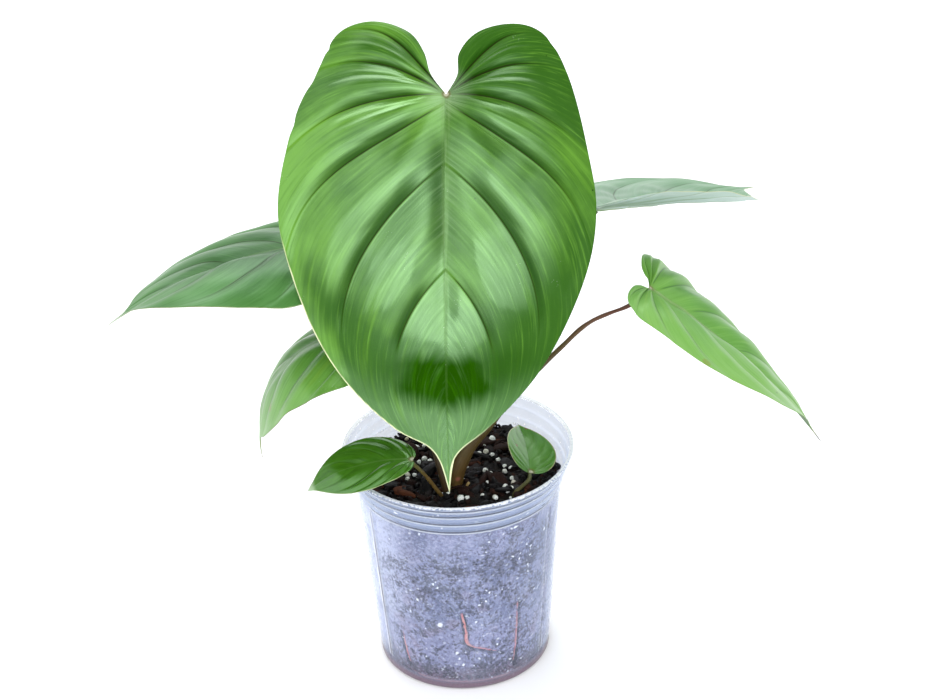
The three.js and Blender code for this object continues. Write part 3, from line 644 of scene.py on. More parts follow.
def make_blade(name, material, seed):
    """A blade of four sheets, upper and lower in each half, with a rounded margin between them."""
    leaf = LEAVES[name]
    blade = Blade(leaf)
    strips = len(leaf.veins) - 1
    k = np.linspace(0, strips, strips * leaf.rows + 1)
    r = np.linspace(0, 1, leaf.columns + 1) ** COLUMN_CROWDING
    grid_k, grid_r = np.meshgrid(k, r, indexing="ij")
    size = grid_k.size
    number = np.arange(size).reshape(grid_k.shape)
    # The margin runs round the lobe and along the ends of the veins to the tip.
    border = np.concatenate([number[0, :-1], number[:, -1]])
    next_to_border = np.concatenate([number[1, :-1], number[:, -2]])
    parts, faces, columns, count = [], [], [], 0
    for side, outline, (pale_start, pale_end, palest) in zip((1, -1), leaf.outlines, leaf.pale_rim):
        half = HalfOutline(outline, leaf.veins)
        flat = half.rows(k, r)
        # Small irregular bays in the margin.
        for bay_side, at_vein, depth, width in leaf.bays:
            bay = depth * np.exp(-(((k - at_vein) / width) ** 2)) * (bay_side == side)
            flat = flat[:, :1] + (flat - flat[:, :1]) * (1 - bay[:, None, None] * (r**6)[None, :, None])
        scale = leaf.length / half.length
        spacing = np.linalg.norm(np.gradient(flat, k, axis=0), axis=-1) * scale
        to_vein = np.abs(grid_k - np.clip(np.round(grid_k), 1, strips - 1)) * spacing
        to_edge = half.to_edge(flat) * scale
        q = side * flat[..., 0] * scale * leaf.width
        p = flat[..., 1] * scale * np.where(flat[..., 1] < 0, leaf.lobes, 1)
        top = relief(leaf, grid_k, grid_r, q, p, seed + side)
        spot = np.stack([q, p, np.zeros_like(q)], -1)
        top += BLADE_WAVE[0] * ripples(spot, BLADE_WAVE[1], seed) * smoothstep(to_edge, 0, 5)
        top += MARGIN_WAVE[0] * ripples(spot, MARGIN_WAVE[1], seed + 5) * smoothstep(to_edge, 14, 0)
        width = midrib_width(leaf, p)
        inner = np.abs(q) / width
        top += 0.1 * width / 3 * (1 - smoothstep(inner, 0, 1.15)) * (p > 0)
        rib = VEIN_RIDGE * np.exp(-((to_vein / VEIN_HALF_WIDTH) ** 2))
        rib = rib * (1 - smoothstep(grid_r, 0.3, 0.95))
        keel = KEEL * np.sqrt(np.clip(1 - (q / (width * 0.75 + 0.4)) ** 2, 0, 1))
        keel = keel * (1 - smoothstep(p / leaf.length, 0.3, 0.97)) * scale**0.5
        thickness = BLADE_THICKNESS * (0.45 + 0.55 * smoothstep(to_edge, 0, 6))
        under = top - thickness - np.maximum(rib * scale, keel * (p > -2))
        upper, lower = (blade.place(q, p, height).reshape(-1, 3) for height in (top, under))
        middle = (upper[border] + lower[border]) / 2
        outward = upper[border] - upper[next_to_border]
        outward /= np.maximum(np.linalg.norm(outward, axis=1, keepdims=True), 1e-6)
        outward[[0, -1]] = 0
        parts += [upper, lower, middle + outward * MARGIN_BEAD]
        on_top = np.stack(np.broadcast_arrays(
            grid_k, grid_r, to_edge, to_vein, inner + 5.0 * (p < -1), 0.0, np.hypot(q, p),
            palest * smoothstep(p / leaf.length, pale_start, pale_end), (side + 1) / 2, np.abs(q),
        ), -1).reshape(size, -1)
        below, rim = on_top.copy(), on_top[border]
        below[:, UNDERSIDE_COLUMN] = 1
        rim[:, UNDERSIDE_COLUMN] = 0.5
        rim[:, EDGE_COLUMN] = 0
        columns += [on_top, below, rim]
        ring = np.arange(len(border)) + 2 * size
        faces += [
            grid_faces(number, flip=side < 0) + count,
            grid_faces(number + size, flip=side > 0) + count,
            grid_faces(np.stack([border, ring, border + size]), flip=side > 0) + count,
        ]
        count += 2 * size + len(border)
    values = dict(zip(LEAF_VALUES, np.vstack(columns).T))
    vertices, triangles, values = merged(np.vstack(parts), np.vstack(faces), values)
    make_piece(f"leaf_{name}", vertices, triangles, material, f"blade_{name}", values)


# Looks of the blades: linear colours, shares of an effect, and places in millimetres from the base.
# A tip is where it starts and ends, and its two colours.
DARK_GREEN = (0.006, 0.038, 0.0005)
NO_TIP = (500, 502, (0.1, 0.1, 0.1), (0.1, 0.1, 0.1))
MATURE = dict(
    dark=DARK_GREEN, light=(0.082, 0.225, 0.004), deep=DARK_GREEN, shades=(0.42, 0.92),
    yellow=(0.11, 0.27, 0.005), flecks=0.45, patch=DARK_GREEN, patch_light=(0.02, 0.09, 0.001),
    vein=(0.014, 0.02, 0.004), line=0.85, last_vein=7, veins_end=500, bank=0.85, bank_from=0.55,
    midrib=(0.06, 0.15, 0.025), midrib_light=(0.13, 0.22, 0.07), midrib_share=0.55, rib_end=1.0,
    dots=(0.5, 0.55, 0.45), speck=(0.005, 0.015, 0.001), margin=(0.5, 0.5, 0.25), rim=0.6, tip=NO_TIP,
    back=(0.05, 0.11, 0.04), back_light=(0.09, 0.16, 0.06), seed=1.0, outer=0.3, outer_end=1.0,
    right_side=1.0, dark_lobes=0, dark_end=0.0, dark_right=0.0, trough=0.0, groove=0.0, weak_end=1.0,
    powder=0.0, hairs=0.0, rubbed=0.0, gloss=(0.19, 0.36), glossy_end=1.0, specular=1.0, ior=1.7,
    sheen=(0.62, 1, 0.56), near_wax=1.0, far_wax=1.0, vein_wax=0.5, tip_wax=1.0, bank_wax=0.4,
    lobe_wax=1.0, ear_wax=1.0, matt_side=0.0, ribbing=0.8, calm=0.25,
)
LOOKS = {
    "front": dict(
        dark=(0.028, 0.095, 0.009), light=(0.115, 0.28, 0.03), shades=(0.36, 0.84), last_vein=6,
        patch=(0.011, 0.056, 0.0005), patch_light=(0.022, 0.1, 0.001), rubbed=1.0, veins_end=134,
        bank_from=0.64, weak_end=0.6, groove=0.6, trough=0.2, dark_lobes=0.2, dark_end=0.4,
        dark_right=0.3, right_side=-0.05, outer=0.24, outer_end=0.0, midrib_share=0.45, rib_end=0.3,
        powder=0.5, hairs=0.3, rim=0.85, margin=(0.7, 0.7, 0.42), ribbing=1.0, ior=1.8, glossy_end=0.6,
        matt_side=0.9, far_wax=0.47, vein_wax=0.15, tip_wax=1.1, bank_wax=0.8, lobe_wax=0.2, ear_wax=0.75,
    ),
    "left": dict(
        dark=(0.02, 0.08, 0.014), light=(0.055, 0.165, 0.032), deep=(0.012, 0.055, 0.008),
        yellow=(0.055, 0.17, 0.02), flecks=0.2, margin=(0.35, 0.35, 0.2), rim=0.5, seed=5.0,
        gloss=(0.32, 0.48), sheen=(0.58, 1, 0.62), specular=0.33, bank=0.4, midrib_share=0.4,
        tip=(112, 130, (0.35, 0.4, 0.3), (0.45, 0.4, 0.33)),
    ),
    "lower_left": dict(
        dark=(0.055, 0.175, 0.022), light=(0.12, 0.295, 0.04), deep=(0.03, 0.12, 0.012),
        yellow=(0.18, 0.33, 0.02), flecks=0.35, margin=(0.12, 0.08, 0.045), rim=0.5, seed=9.0,
        gloss=(0.28, 0.42), sheen=(0.7, 1, 0.62), specular=0.5, bank=0.5, line=0.4,
        tip=(108, 122, (0.14, 0.2, 0.01), (0.12, 0.09, 0.03)),
    ),
    "right": dict(
        dark=(0.075, 0.23, 0.02), light=(0.135, 0.31, 0.045), deep=(0.05, 0.17, 0.014),
        yellow=(0.17, 0.33, 0.03), flecks=0.5, vein=(0.04, 0.13, 0.02), margin=(0.25, 0.35, 0.12),
        rim=0.4, seed=13.0, gloss=(0.32, 0.45), specular=0.4, bank=0.3, midrib_light=(0.33, 0.42, 0.2),
        tip=(113, 121, (0.4, 0.4, 0.28), (0.03, 0.012, 0.007)),
    ),
    "back": dict(
        dark=(0.045, 0.147, 0.05), light=(0.075, 0.2, 0.075), deep=(0.04, 0.13, 0.045),
        yellow=(0.1, 0.24, 0.08), flecks=0.2, back=(0.34, 0.45, 0.4), back_light=(0.45, 0.55, 0.5),
        margin=(0.5, 0.5, 0.28), rim=0.5, seed=17.0, gloss=(0.32, 0.48), sheen=(0.75, 1, 0.85),
        specular=0.5, bank=0.3,
    ),
    "small_left": dict(
        dark=(0.009, 0.046, 0.001), light=(0.042, 0.14, 0.006), yellow=(0.1, 0.24, 0.006), flecks=0.25,
        margin=(0.32, 0.35, 0.16), rim=0.35, gloss=(0.07, 0.22), seed=21.0, last_vein=5, bank=0.4,
        line=0.25, midrib_share=0.35, ribbing=1.0, tip=(54, 61, (0.28, 0.38, 0.22), (0.5, 0.55, 0.45)),
    ),
    "small_right": dict(
        dark=(0.025, 0.1, 0.011), light=(0.065, 0.18, 0.022), deep=(0.02, 0.08, 0.009), flecks=0.15,
        margin=(0.35, 0.33, 0.17), rim=0.4, seed=25.0, last_vein=5, bank=0.2, line=0.12,
        midrib_share=0.3, ribbing=0.3, sheen=(0.75, 1, 0.7),
    ),
}
# Marks on single leaves: q, p, radius in millimetres and colour.
MARKS = {
    "front": [(54.4, 39.2, 0.6, (0.003, 0.005, 0.002)), (11.7, 164.2, 0.8, (0.3, 0.4, 0.3))],
    "lower_left": [(14.6, 81.8, 3, (0.12, 0.17, 0.008)), (15.9, 61.7, 1.2, (0.008, 0.03, 0.002))],
    "right": [(-46.1, 35.5, 3, (0.14, 0.2, 0.012)), (-19.7, 15.2, 1.2, MOSS), (-31.9, 20.3, 1.2, MOSS)],
    "small_right": [(8, 13.6, 1, RUST), (4.4, 26.8, 0.8, RUST), (-3.1, 28.3, 1, RUST)],
}


def on_blade(name, q, p, h):
    """The place of one point of a leaf's flat outline."""
    return Blade(LEAVES[name]).place(np.array(float(q)), np.array(float(p)), np.array(float(h)))


for order, name in enumerate(LEAVES):
    look = SimpleNamespace(**(MATURE | LOOKS[name]))
    marks = [(on_blade(name, q, p, 0), size, colour) for q, p, size, colour in MARKS.get(name, ())]
    make_blade(name, leaf_material(f"leaf_tissue_{name}", look, marks), 40 + 10 * order)


# Stalks, stem and roots


def tube(points, radii, sides, steps, wobble, seed):
    """A closed round tube along a curve: (vertices, faces, share along it, angle round it)."""
    line = curve_through(points, steps + 1)
    ahead = np.gradient(line, axis=0)
    ahead /= np.linalg.norm(ahead, axis=1, keepdims=True)
    across = np.cross(ahead[0], [0.3, 1, 0.2])
    frames = []
    for direction in ahead:
        across = across - direction * (across @ direction)
        across /= np.linalg.norm(across)
        frames.append((across, np.cross(direction, across)))
    first, second = np.array(frames)[:, :, None].transpose(1, 0, 2, 3)
    share = np.linspace(0, 1, steps + 1)
    radius = np.interp(share, np.linspace(0, 1, len(radii)), radii)
    turn = np.linspace(0, FULL_TURN, sides, endpoint=False)
    circle = first * np.cos(turn)[None, :, None] + second * np.sin(turn)[None, :, None]
    vertices = line[:, None] + circle * radius[:, None, None]
    vertices = vertices + circle * (wobble * ripples(vertices, 7, seed))[..., None]
    vertices = np.vstack([vertices.reshape(-1, 3), line[0], line[-1]])
    along, angle = np.append(np.repeat(share, sides), [0, 1]), np.append(np.tile(turn, steps + 1), [0, 0])
    number = ring_numbers(steps + 1, sides)
    foot, head = np.full(sides, len(vertices) - 2), np.full(sides, len(vertices) - 1)
    faces = np.vstack([
        grid_faces(number, flip=True),
        np.stack([foot, number[0, 1:], number[0, :-1]], -1),
        np.stack([head, number[-1, :-1], number[-1, 1:]], -1),
    ])
    return vertices, faces, along, angle


# Points from the foot to just before the blade, and radii at even steps.
STALKS = {
    "front": (
        [(-3, -4, 112), (-3, 2, 130), (-2, 16, 175), (0, 33, 235), (1.5, 42, 280)],
        [4, 3.6, 2.8, 2.4, 2.2, 2.1],
    ),
    "left": (
        [(-4, -3, 112), (-9, 6, 130), (-12, 26, 165), (-24, 40, 195), (-46, 42, 210), (-55, 39, 219)],
        [3.4, 2.8, 2.2, 1.9, 1.8, 1.7],
    ),
    "lower_left": (
        [
            (-5, -16, 92), (-6.2, -17, 107), (-8.6, -15.5, 118), (-14, -10, 140), (-21, -4, 160),
            (-28, 1, 176),
        ],
        [2.6, 2.4, 2.1, 1.8, 1.6, 1.5],
    ),
    "right": (
        [
            (-2.6, -10, 100), (-0.7, -11.5, 115.2), (6.5, -10, 129.7), (15.5, -8.5, 140.4),
            (30.4, -5, 156.7), (50.3, 1, 174.1), (69.5, 7, 189), (90.1, 10.5, 196),
        ],
        [4.4, 4.4, 3.6, 2.3, 1.4, 1.15, 1, 1],
    ),
    "back": (
        [(-1, -2, 112), (6, 7, 126), (23, 26, 160), (44, 43, 193), (63, 54, 214)],
        [3.2, 2.7, 2.1, 1.8, 1.7, 1.6],
    ),
    "small_left": (
        [(-7.5, -22.5, 98), (-8.9, -23.7, 107), (-11.4, -26.5, 113.4), (-16.9, -31, 125.6)],
        [1.2, 1.1, 1, 1],
    ),
    "small_right": (
        [(27, -23.5, 98), (28.6, -22.6, 107), (33, -19.7, 109.6), (36.3, -17.3, 111.8)],
        [1.2, 1.1, 1, 1],
    ),
}


def stalk_material(name, foot, middle, head, spot, roughness=0.42, blush=None):
    """Stalk tissue: colour changes from the foot to the blade, with lengthwise lines and dots."""
    s = Shader(name)
    along = s.attribute("along")
    lines = s.noise(1.0, 3, 0.6, s.vector(s.attribute("round") * 5.0, along * 6.0))
    cloud = s.noise(160, 3)
    up = along + (cloud - 0.5) * 0.35
    colour = s.layers(s.mix(up.ramp(0.02, 0.4), foot, middle), [
        (up.ramp(0.55, 0.98), head),
        (lines.ramp(0.35, 0.75, 0, 0.5), spot),
        (s.cells(900).ramp(0.22, 0.1, 0, 0.45), spot),
    ])
    if blush:
        colour = s.mix(s.near(blush, 2, 0.6, 0, 0.7), colour, (0.26, 0.09, 0.06))
    return s.finish(
        Base_Color=colour, Roughness=cloud.ramp(0.2, 0.8, roughness - 0.1, roughness + 0.12),
        Specular_IOR_Level=0.3, Normal=s.bump(lines + cloud, 0.00025, 0.7),
    )


# Colours of the foot, the middle, the head and the spots.
STALK_LOOKS = {
    "front": ((0.05, 0.037, 0.01), (0.04, 0.05, 0.01), (0.1, 0.11, 0.045), (0.025, 0.025, 0.008)),
    "left": ((0.05, 0.035, 0.01), (0.06, 0.037, 0.017), (0.05, 0.06, 0.02), (0.025, 0.015, 0.008)),
    "lower_left": ((0.055, 0.03, 0.01), (0.06, 0.04, 0.015), (0.05, 0.06, 0.02), (0.025, 0.015, 0.006)),
    "right": ((0.085, 0.05, 0.012), (0.08, 0.06, 0.012), (0.14, 0.05, 0.03), (0.04, 0.02, 0.01)),
    "back": ((0.05, 0.035, 0.01), (0.06, 0.037, 0.017), (0.06, 0.065, 0.03), (0.025, 0.015, 0.008)),
    "small_left": ((0.08, 0.05, 0.015), (0.12, 0.075, 0.018), (0.09, 0.09, 0.02), (0.045, 0.025, 0.01)),
    "small_right": ((0.06, 0.055, 0.015), (0.075, 0.07, 0.015), (0.075, 0.09, 0.025), (0.04, 0.03, 0.01)),
}
RHIZOME_LOOK = ((0.025, 0.015, 0.008), (0.045, 0.03, 0.012), (0.05, 0.045, 0.015), (0.04, 0.022, 0.011))
SPROUT_LOOK = ((0.1, 0.06, 0.02), (0.25, 0.17, 0.06), (0.32, 0.24, 0.1), (0.12, 0.07, 0.02))
BLUSH = {"right": (-0.4, -15.6, 112.4)}


def make_stalk(name, shape, material, node):
    vertices, faces, along, angle = tube(*shape)
    make_piece(name, vertices, faces, material, node, {"along": along, "round": angle})


for name, (points, radii) in STALKS.items():
    head = on_blade(name, 0, 1, -1.2 - 0.4 * LEAVES[name].quilt)
    tissue = stalk_material(f"stalk_tissue_{name}", *STALK_LOOKS[name], blush=BLUSH.get(name))
    shape = ([*points, tuple(head)], radii, 28, 90, 0.12, 3)
    make_stalk(f"stalk_{name}", shape, tissue, f"petiole_{name}")

STEM_POINTS = [(-3, -4, 84), (-3, -4, 100), (-3, -3.5, 112), (-3, -3, 122)]
STEM_RADII = [6.5, 6.2, 6.6, 5.6, 6, 4.4]
tissue = stalk_material("rhizome_bark", *RHIZOME_LOOK, roughness=0.6)
make_stalk("rhizome", (STEM_POINTS, STEM_RADII, 48, 80, 0.5, 8), tissue, "stem")

SPROUT_POINTS = [
    (4.3, -17.2, 105), (4.5, -17, 107), (4.2, -16.8, 109), (5.1, -16.6, 110.6), (5.2, -16.9, 109.8),
]
SPROUT_RADII = [0.9, 0.8, 0.7, 0.8, 0.5]
tissue = stalk_material("sprout_tissue", *SPROUT_LOOK)
make_stalk("sprout", (SPROUT_POINTS, SPROUT_RADII, 14, 30, 0.1, 4), tissue, "soil")

# Per root: (degrees round the pot from the front, height) along it, and its radius.
ROOTS = {
    "root_front": ([(-1.5, 50), (0.8, 38), (2, 29.5), (12, 25.5), (25, 20.5)], 1),
    "root_right": ([(36.5, 50), (36, 36), (35.4, 22), (34.5, 10)], 1.1),
    "root_left": ([(-45, 30), (-43.5, 20), (-41.5, 10.5)], 0.9),
    "root_ring": ([(-62, 9), (-36, 4.6), (-8, 4), (20, 4), (42, 4.4), (60, 8)], 1.1),
}
# Radius and height along the outside of the wall.
WALL = [
    (45.3, 1.2), (45.8, 8), (53, 98), (53.5, 105.2), (54.7, 106), (55.2, 110.9), (56.6, 111.7),
    (57, 116.6), (58.3, 117.4), (58.6, 121.2), (60, 121.6),
]
WALL_THICKNESS, CREASE_DEPTH, GAP = 0.9, 0.5, 0.3
LINING = WALL_THICKNESS + CREASE_DEPTH + GAP


def wall_radius(height):
    return np.interp(height, [h for _, h in WALL], [radius for radius, _ in WALL])


def round_the_pot(degrees, height, inset):
    """A point against the inside of the wall: degrees from the front towards +X."""
    radius = wall_radius(height) - inset
    turn = np.radians(degrees)
    return np.stack([radius * np.sin(turn), -radius * np.cos(turn), height * np.ones_like(radius)], -1)


def root_material():
    s = Shader("root_skin")
    cloud = s.noise(260, 3)
    colour = s.layers(s.mix(cloud.ramp(0.35, 0.7), (0.85, 0.22, 0.18), (0.98, 0.48, 0.4)), [
        (s.noise(900, 2).ramp(0.55, 0.75, 0, 0.5), (0.2, 0.08, 0.05)),
        (s.attribute("along").ramp(0.93, 1.0, 0, 0.7), (0.75, 0.6, 0.45)),
    ])
    return s.finish(
        Base_Color=colour, Roughness=cloud.ramp(0.2, 0.8, 0.45, 0.7), Normal=s.bump(cloud, 0.0002, 0.6)
    )


root_skin = root_material()
root_lines = []
for name, (path, radius) in ROOTS.items():
    points = [round_the_pot(degrees, height, LINING + radius) for degrees, height in path]
    root_lines.append(curve_through(points, 160))
    radii = [share * radius for share in (0.6, 1, 1, 0.5)]
    vertices, faces, along, _ = tube(points, radii, 16, 120, 0.14, 5)
    make_piece(name, vertices, faces, root_skin, name, {"along": along})


# The pot

# Radius and height along the rest of the pot's profile.
LIP = [(60, 123), (58.2, 123)]
UNDERSIDE = [(0, 0), (15, 0), (17.5, 2), (36.5, 2), (38.5, 0), (44.3, 0)]
FLOOR_INSIDE = [(38.2, 1.2), (36.2, 3.2), (17.8, 3.2), (15.3, 1.2), (0, 1.2)]
CREASES = 12
CREASE_HALF_WIDTH = 1.1
POT_SIDES = 300
# The recess under each step of the wall, where painted shade lies, with a painted highlight just below.
BAND_HEIGHTS = (104.7, 110.4, 116.1, 120.4)
# White spots and streaks seen on the wall in the photo: place and radius.
WHITE_SPOTS = [
    ((-32.6, -45.2, 112), 1.6), ((-31, -45.6, 109), 1.3), ((33.9, -41.9, 106.7), 1.3),
    ((31, -43, 104), 1.2), ((28.1, -44.1, 101.2), 1.2), ((44.5, -30.2, 106), 1.5),
    ((42.8, -28.3, 88.6), 1.2), ((8.4, -48, 55.9), 0.9), ((-23.9, -42.5, 56.7), 1.2),
    ((-12.6, -46, 42.8), 1.8), ((-4.5, -46, 24.4), 1.6), ((-3, -45.7, 20.5), 1), ((-1.1, -45.5, 16.1), 1.1),
]
# How far noise moves the edge of a white spot, from one side to the other.
SPOT_STIR = 3


def refine(profile, longest):
    """More points on the long straight runs of a profile, and rounded corners."""
    points = []
    for (r0, z0), (r1, z1) in zip(profile[:-1], profile[1:]):
        length = math.hypot(r1 - r0, z1 - z0)
        count = max(1, math.ceil(length / longest))
        soft = min(0.18, length / 4) / length
        shares = np.unique(np.concatenate([[soft, 1 - soft], np.linspace(0, 1, count + 1)[1:-1]]))
        points += [(r0 + (r1 - r0) * t, z0 + (z1 - z0) * t) for t in shares]
    return points


def plastic_material():
    """The clear wall: a painted reflection where it is seen edge-on, and painted shade and highlights at its
    steps and creases.
    """
    s = Shader("clear_plastic")
    y, z = s.coordinate(s.place, 1), s.coordinate(s.place, 2)
    facing = s.add("LayerWeight", "Facing", {"Blend": 0.3})
    scuffs = s.noise(70, 4, 0.6)
    # Painted reflection: the wall is paler and less clear where it is seen edge-on.
    alpha = facing.ramp(0.2, 0.95, 0.0, 0.6) + scuffs.ramp(0.45, 0.8, 0.1, 0.22)
    coats = [(facing.ramp(0.45, 0.95), (0.84, 0.88, 1))]
    in_front = y.ramp(0.03, -0.01, 0.25, 1)
    # Painted shade in the recess under each step, with a painted highlight just below it, strongest at the
    # front.
    for band in BAND_HEIGHTS:
        recess_shade = s.math("ABSOLUTE", z - band * MM).ramp(0.0007, 0.0003) * in_front
        step_highlight = s.math("ABSOLUTE", z - (band - 1.0) * MM).ramp(0.0006, 0.0002) * in_front
        coats += [(step_highlight, (0.62, 0.66, 0.7)), (recess_shade, (0.03, 0.04, 0.06))]
        alpha = alpha.at_least(recess_shade * 0.75).at_least(step_highlight * 0.55)
    foot = z.ramp(0.009, 0.003)
    # Painted shade along each crease of the wall, with a painted highlight on either side.
    crease, marked = s.attribute("crease_mm"), s.attribute("crease_share")
    marked = (marked * scuffs.ramp(0.4, 0.6, 0.15, 0.9)).at_least(marked - 1.0).at_most(1.0)
    wall_crease_shade, wall_crease_highlight = crease.ramp(0.9, 0.5) * marked, crease.ramp(2.3, 1.5) * marked
    # The top of the lip is pale with a ragged edge, partly dust and partly a painted highlight.
    lip = (z + s.noise(700, 2).ramp(0.3, 0.7, -0.0006, 0.0006)).ramp(0.1222, 0.1228)
    coats += [
        (foot * 0.85, (0.12, 0.022, 0.04)),
        (wall_crease_highlight, (0.75, 0.78, 0.85)),
        (wall_crease_shade, (0.04, 0.04, 0.09)),
        (lip, (0.7, 0.72, 0.75)),
    ]
    return s.finish(
        Base_Color=s.layers(s.mix(scuffs, (0.5, 0.63, 0.94), (0.66, 0.74, 0.95)), coats),
        Alpha=alpha.at_least(foot * 0.72).at_least(wall_crease_highlight * 0.75).at_least(lip * 0.85),
        Roughness=scuffs.ramp(0.3, 0.8, 0.12, 0.3), Specular_IOR_Level=1.0,
        Normal=s.bump(s.noise(90, 3), 0.0004, 0.5),
    )


def film_material():
    """The film of dew and dust inside the wall, which lets the roots show."""
    s = Shader("dew_film")
    x, z = s.coordinate(s.place, 0), s.coordinate(s.place, 2)
    warped = s.stirred(600, 0.0022)
    drift, clump, mottle = s.noise(30, 3, 0.6), s.noise(120, 4, 0.7), s.noise(640, 3, 0.7, warped)
    # Crumbs of soil show dark through the film: more of them half way up and at the very bottom.
    half_way = z.ramp(0.045, 0.06) * z.ramp(0.096, 0.08)
    crowd = (half_way * 0.1).at_least(z.ramp(0.024, 0.008, 0, 0.3))
    crowd = crowd + drift.ramp(0.32, 0.68, 0.0, 0.2) + clump.ramp(0.42, 0.62, 0.0, 0.55)
    crumbs = (s.cells(560, warped, "Color") + crowd).above(0.95) * s.cells(560, warped).ramp(0.55, 0.3)
    specks = (s.noise(520, 3, 0.75, warped) + crowd * 0.22).ramp(0.6, 0.66)
    dark = crumbs.at_least(specks) * (z - x * 0.28).ramp(0.099, 0.088) * x.ramp(-0.047, -0.032, 0.3, 1)
    in_soil = z.ramp(0.1055, 0.1025)
    tint = s.layers(s.mix(s.noise(45, 3).ramp(0.35, 0.65), (0.12, 0.14, 0.27), (0.24, 0.26, 0.43)), [
        (x.ramp(-0.022, -0.046, 0, 0.9), (0.74, 0.78, 1)),
        (z.ramp(0.05, 0.03, 0, 0.6), (0.28, 0.28, 0.47)),
        (s.noise(220, 3).ramp(0.45, 0.75, 0, 0.6), (0.28, 0.29, 0.46)),
        (clump.ramp(0.5, 0.68, 0, 0.45), (0.07, 0.07, 0.15)),
        (s.noise(85, 3).ramp(0.54, 0.68) * z.ramp(0.085, 0.03, 0.1, 0.45), (0.24, 0.15, 0.19)),
        (z.ramp(0.018, 0.007, 0, 0.9), (0.07, 0.01, 0.018)),
        (mottle.ramp(0.5, 0.66, 0, 0.5), (0.54, 0.57, 0.76)),
        (mottle.ramp(0.5, 0.36, 0, 0.5), (0.06, 0.065, 0.12)),
        (dark * mottle.ramp(0.35, 0.6, 0.95, 0.65), (0.014, 0.01, 0.02)),
    ])
    # Painted highlights: glints and pale streaks on the film, and the white spots drawn in the same way.
    glints = s.cells(430, warped, "Color").above(0.68) * s.cells(430, warped).ramp(0.34, 0.2)
    pale_streaks = s.noise(330, 3, 0.7, warped).ramp(0.63, 0.7) * clump.ramp(0.6, 0.45, 0, 0.7)
    shine = (glints * s.noise(60, 2).ramp(0.46, 0.6)).at_least(pale_streaks)
    ragged = s.stirred(420, SPOT_STIR * MM)
    for spot, size in WHITE_SPOTS:
        spot = [c + SPOT_STIR / 2 for c in spot]
        shine = shine.at_least(s.near(spot, size, size * 0.5, where=ragged))
    alpha = drift.ramp(0.2, 0.8, 0.74, 0.88) * s.attribute("to_root").ramp(0.6, 1.9, 0.2, 1)
    alpha = alpha.at_least(x.ramp(-0.026, -0.048, 0, 0.95)) * in_soil + (1.0 - in_soil) * 0.48
    return s.finish(
        Base_Color=s.mix(shine, s.mix(in_soil, (0.46, 0.55, 0.8), tint), (0.85, 0.88, 0.95)),
        Alpha=alpha.at_least(shine * 0.9), Roughness=drift.ramp(0.3, 0.8, 0.35, 0.6),
        Normal=s.bump(s.noise(600) + shine, 0.0003, 0.6),
    )


def make_pot():
    """The pot, with the film of dew as a second material inside its wall."""
    inner = [(radius - WALL_THICKNESS, h + 0.5) for radius, h in WALL[1:-1][::-1]]
    inner = inner + [(wall_radius(1.2) - WALL_THICKNESS, 1.2)] + FLOOR_INSIDE
    outside, inside = refine(UNDERSIDE + WALL + LIP, 5), refine([LIP[-1]] + inner, 1.5)
    profile = [(0, 0)] + outside + inside + [(0, 1.2)]
    turn = np.linspace(0, FULL_TURN, POT_SIDES, endpoint=False)
    from_crease = np.abs((turn / FULL_TURN * CREASES + 0.5) % 1 - 0.5) * FULL_TURN / CREASES
    rings, creases = [], []
    for radius, h in profile:
        reach = np.full(POT_SIDES, float(radius))
        if radius > 40 and 2 < h < 104:
            fade = smoothstep(h, 3, 9) * (1 - smoothstep(h, 96, 103))
            reach -= CREASE_DEPTH * fade * np.exp(-((from_crease * radius / CREASE_HALF_WIDTH) ** 2))
        creases.append(from_crease * radius + 9 * (radius < 40 or h < 6 or h > 102))
        rings.append(np.stack([reach * np.sin(turn), -reach * np.cos(turn), np.full(POT_SIDES, h)], -1))
    rings = np.array(rings)
    # Creases look faint at the front and clear at the sides, and one at the left is the clearest.
    from_front = np.abs((turn + math.pi) % FULL_TURN - math.pi)
    marked = 0.1 + 0.6 * smoothstep(from_front, 0.3, 1) + 1.1 * (np.abs(turn - math.radians(300)) < 0.2)
    # The pot is slightly oval, more so towards its lip.
    oval = 0.0012 * np.sin(2 * turn + 0.6)[None, :, None]
    rings[..., :2] *= 1 + oval * smoothstep(rings[..., 2:], 20, 123)
    values = {"crease_mm": np.concatenate(creases), "crease_share": np.tile(marked, len(profile))}
    faces = grid_faces(ring_numbers(len(profile), POT_SIDES))
    vertices, faces, values = merged(rings.reshape(-1, 3), faces, values)
    to_root = np.min([nearest_gap(vertices, line) for line in root_lines], axis=0) - WALL_THICKNESS
    values["to_root"] = np.minimum(to_root, 9)
    pot = make_piece("nursery_pot", vertices, faces, plastic_material(), "pot", values)
    pot.data.materials.append(film_material())
    x, y, z = vertices[faces].mean(1).T
    radius = np.hypot(x, y)
    within_wall = (z > 1.3) & (z < 122.5) & (radius < wall_radius(z) - WALL_THICKNESS / 2)
    under_floor = (radius < 38.6) & (z < 2.1)
    pot.data.polygons.foreach_set("material_index", (within_wall & ~under_floor).astype(np.int32))


make_pot()


# Soil, bark and perlite

SOIL_TOP, SOIL_FLOOR, SOIL_SHOULDER = 106.3, 3.5, 104.8
SOIL_SIDES = 220
# Height of the lumps on the soil, and depth of the hollows in its side.
LUMP_HEIGHT, HOLLOW_DEPTH = 1.1, 0.7
GRAIN_SHAPES = 14


def soil_material():
    s = Shader("damp_compost")
    lumps, grit = s.noise(120, 4, 0.65), s.noise(900, 3, 0.6)
    colour = s.mix(lumps.ramp(0.35, 0.7), (0.003, 0.0028, 0.0028), (0.013, 0.009, 0.007))
    return s.finish(
        Base_Color=s.mix(grit.ramp(0.62, 0.76, 0, 0.5), colour, (0.04, 0.024, 0.016)),
        Roughness=lumps.ramp(0.3, 0.7, 0.55, 0.9), Specular_IOR_Level=0.15,
        Normal=s.bump(lumps + grit, 0.001, 0.8),
    )


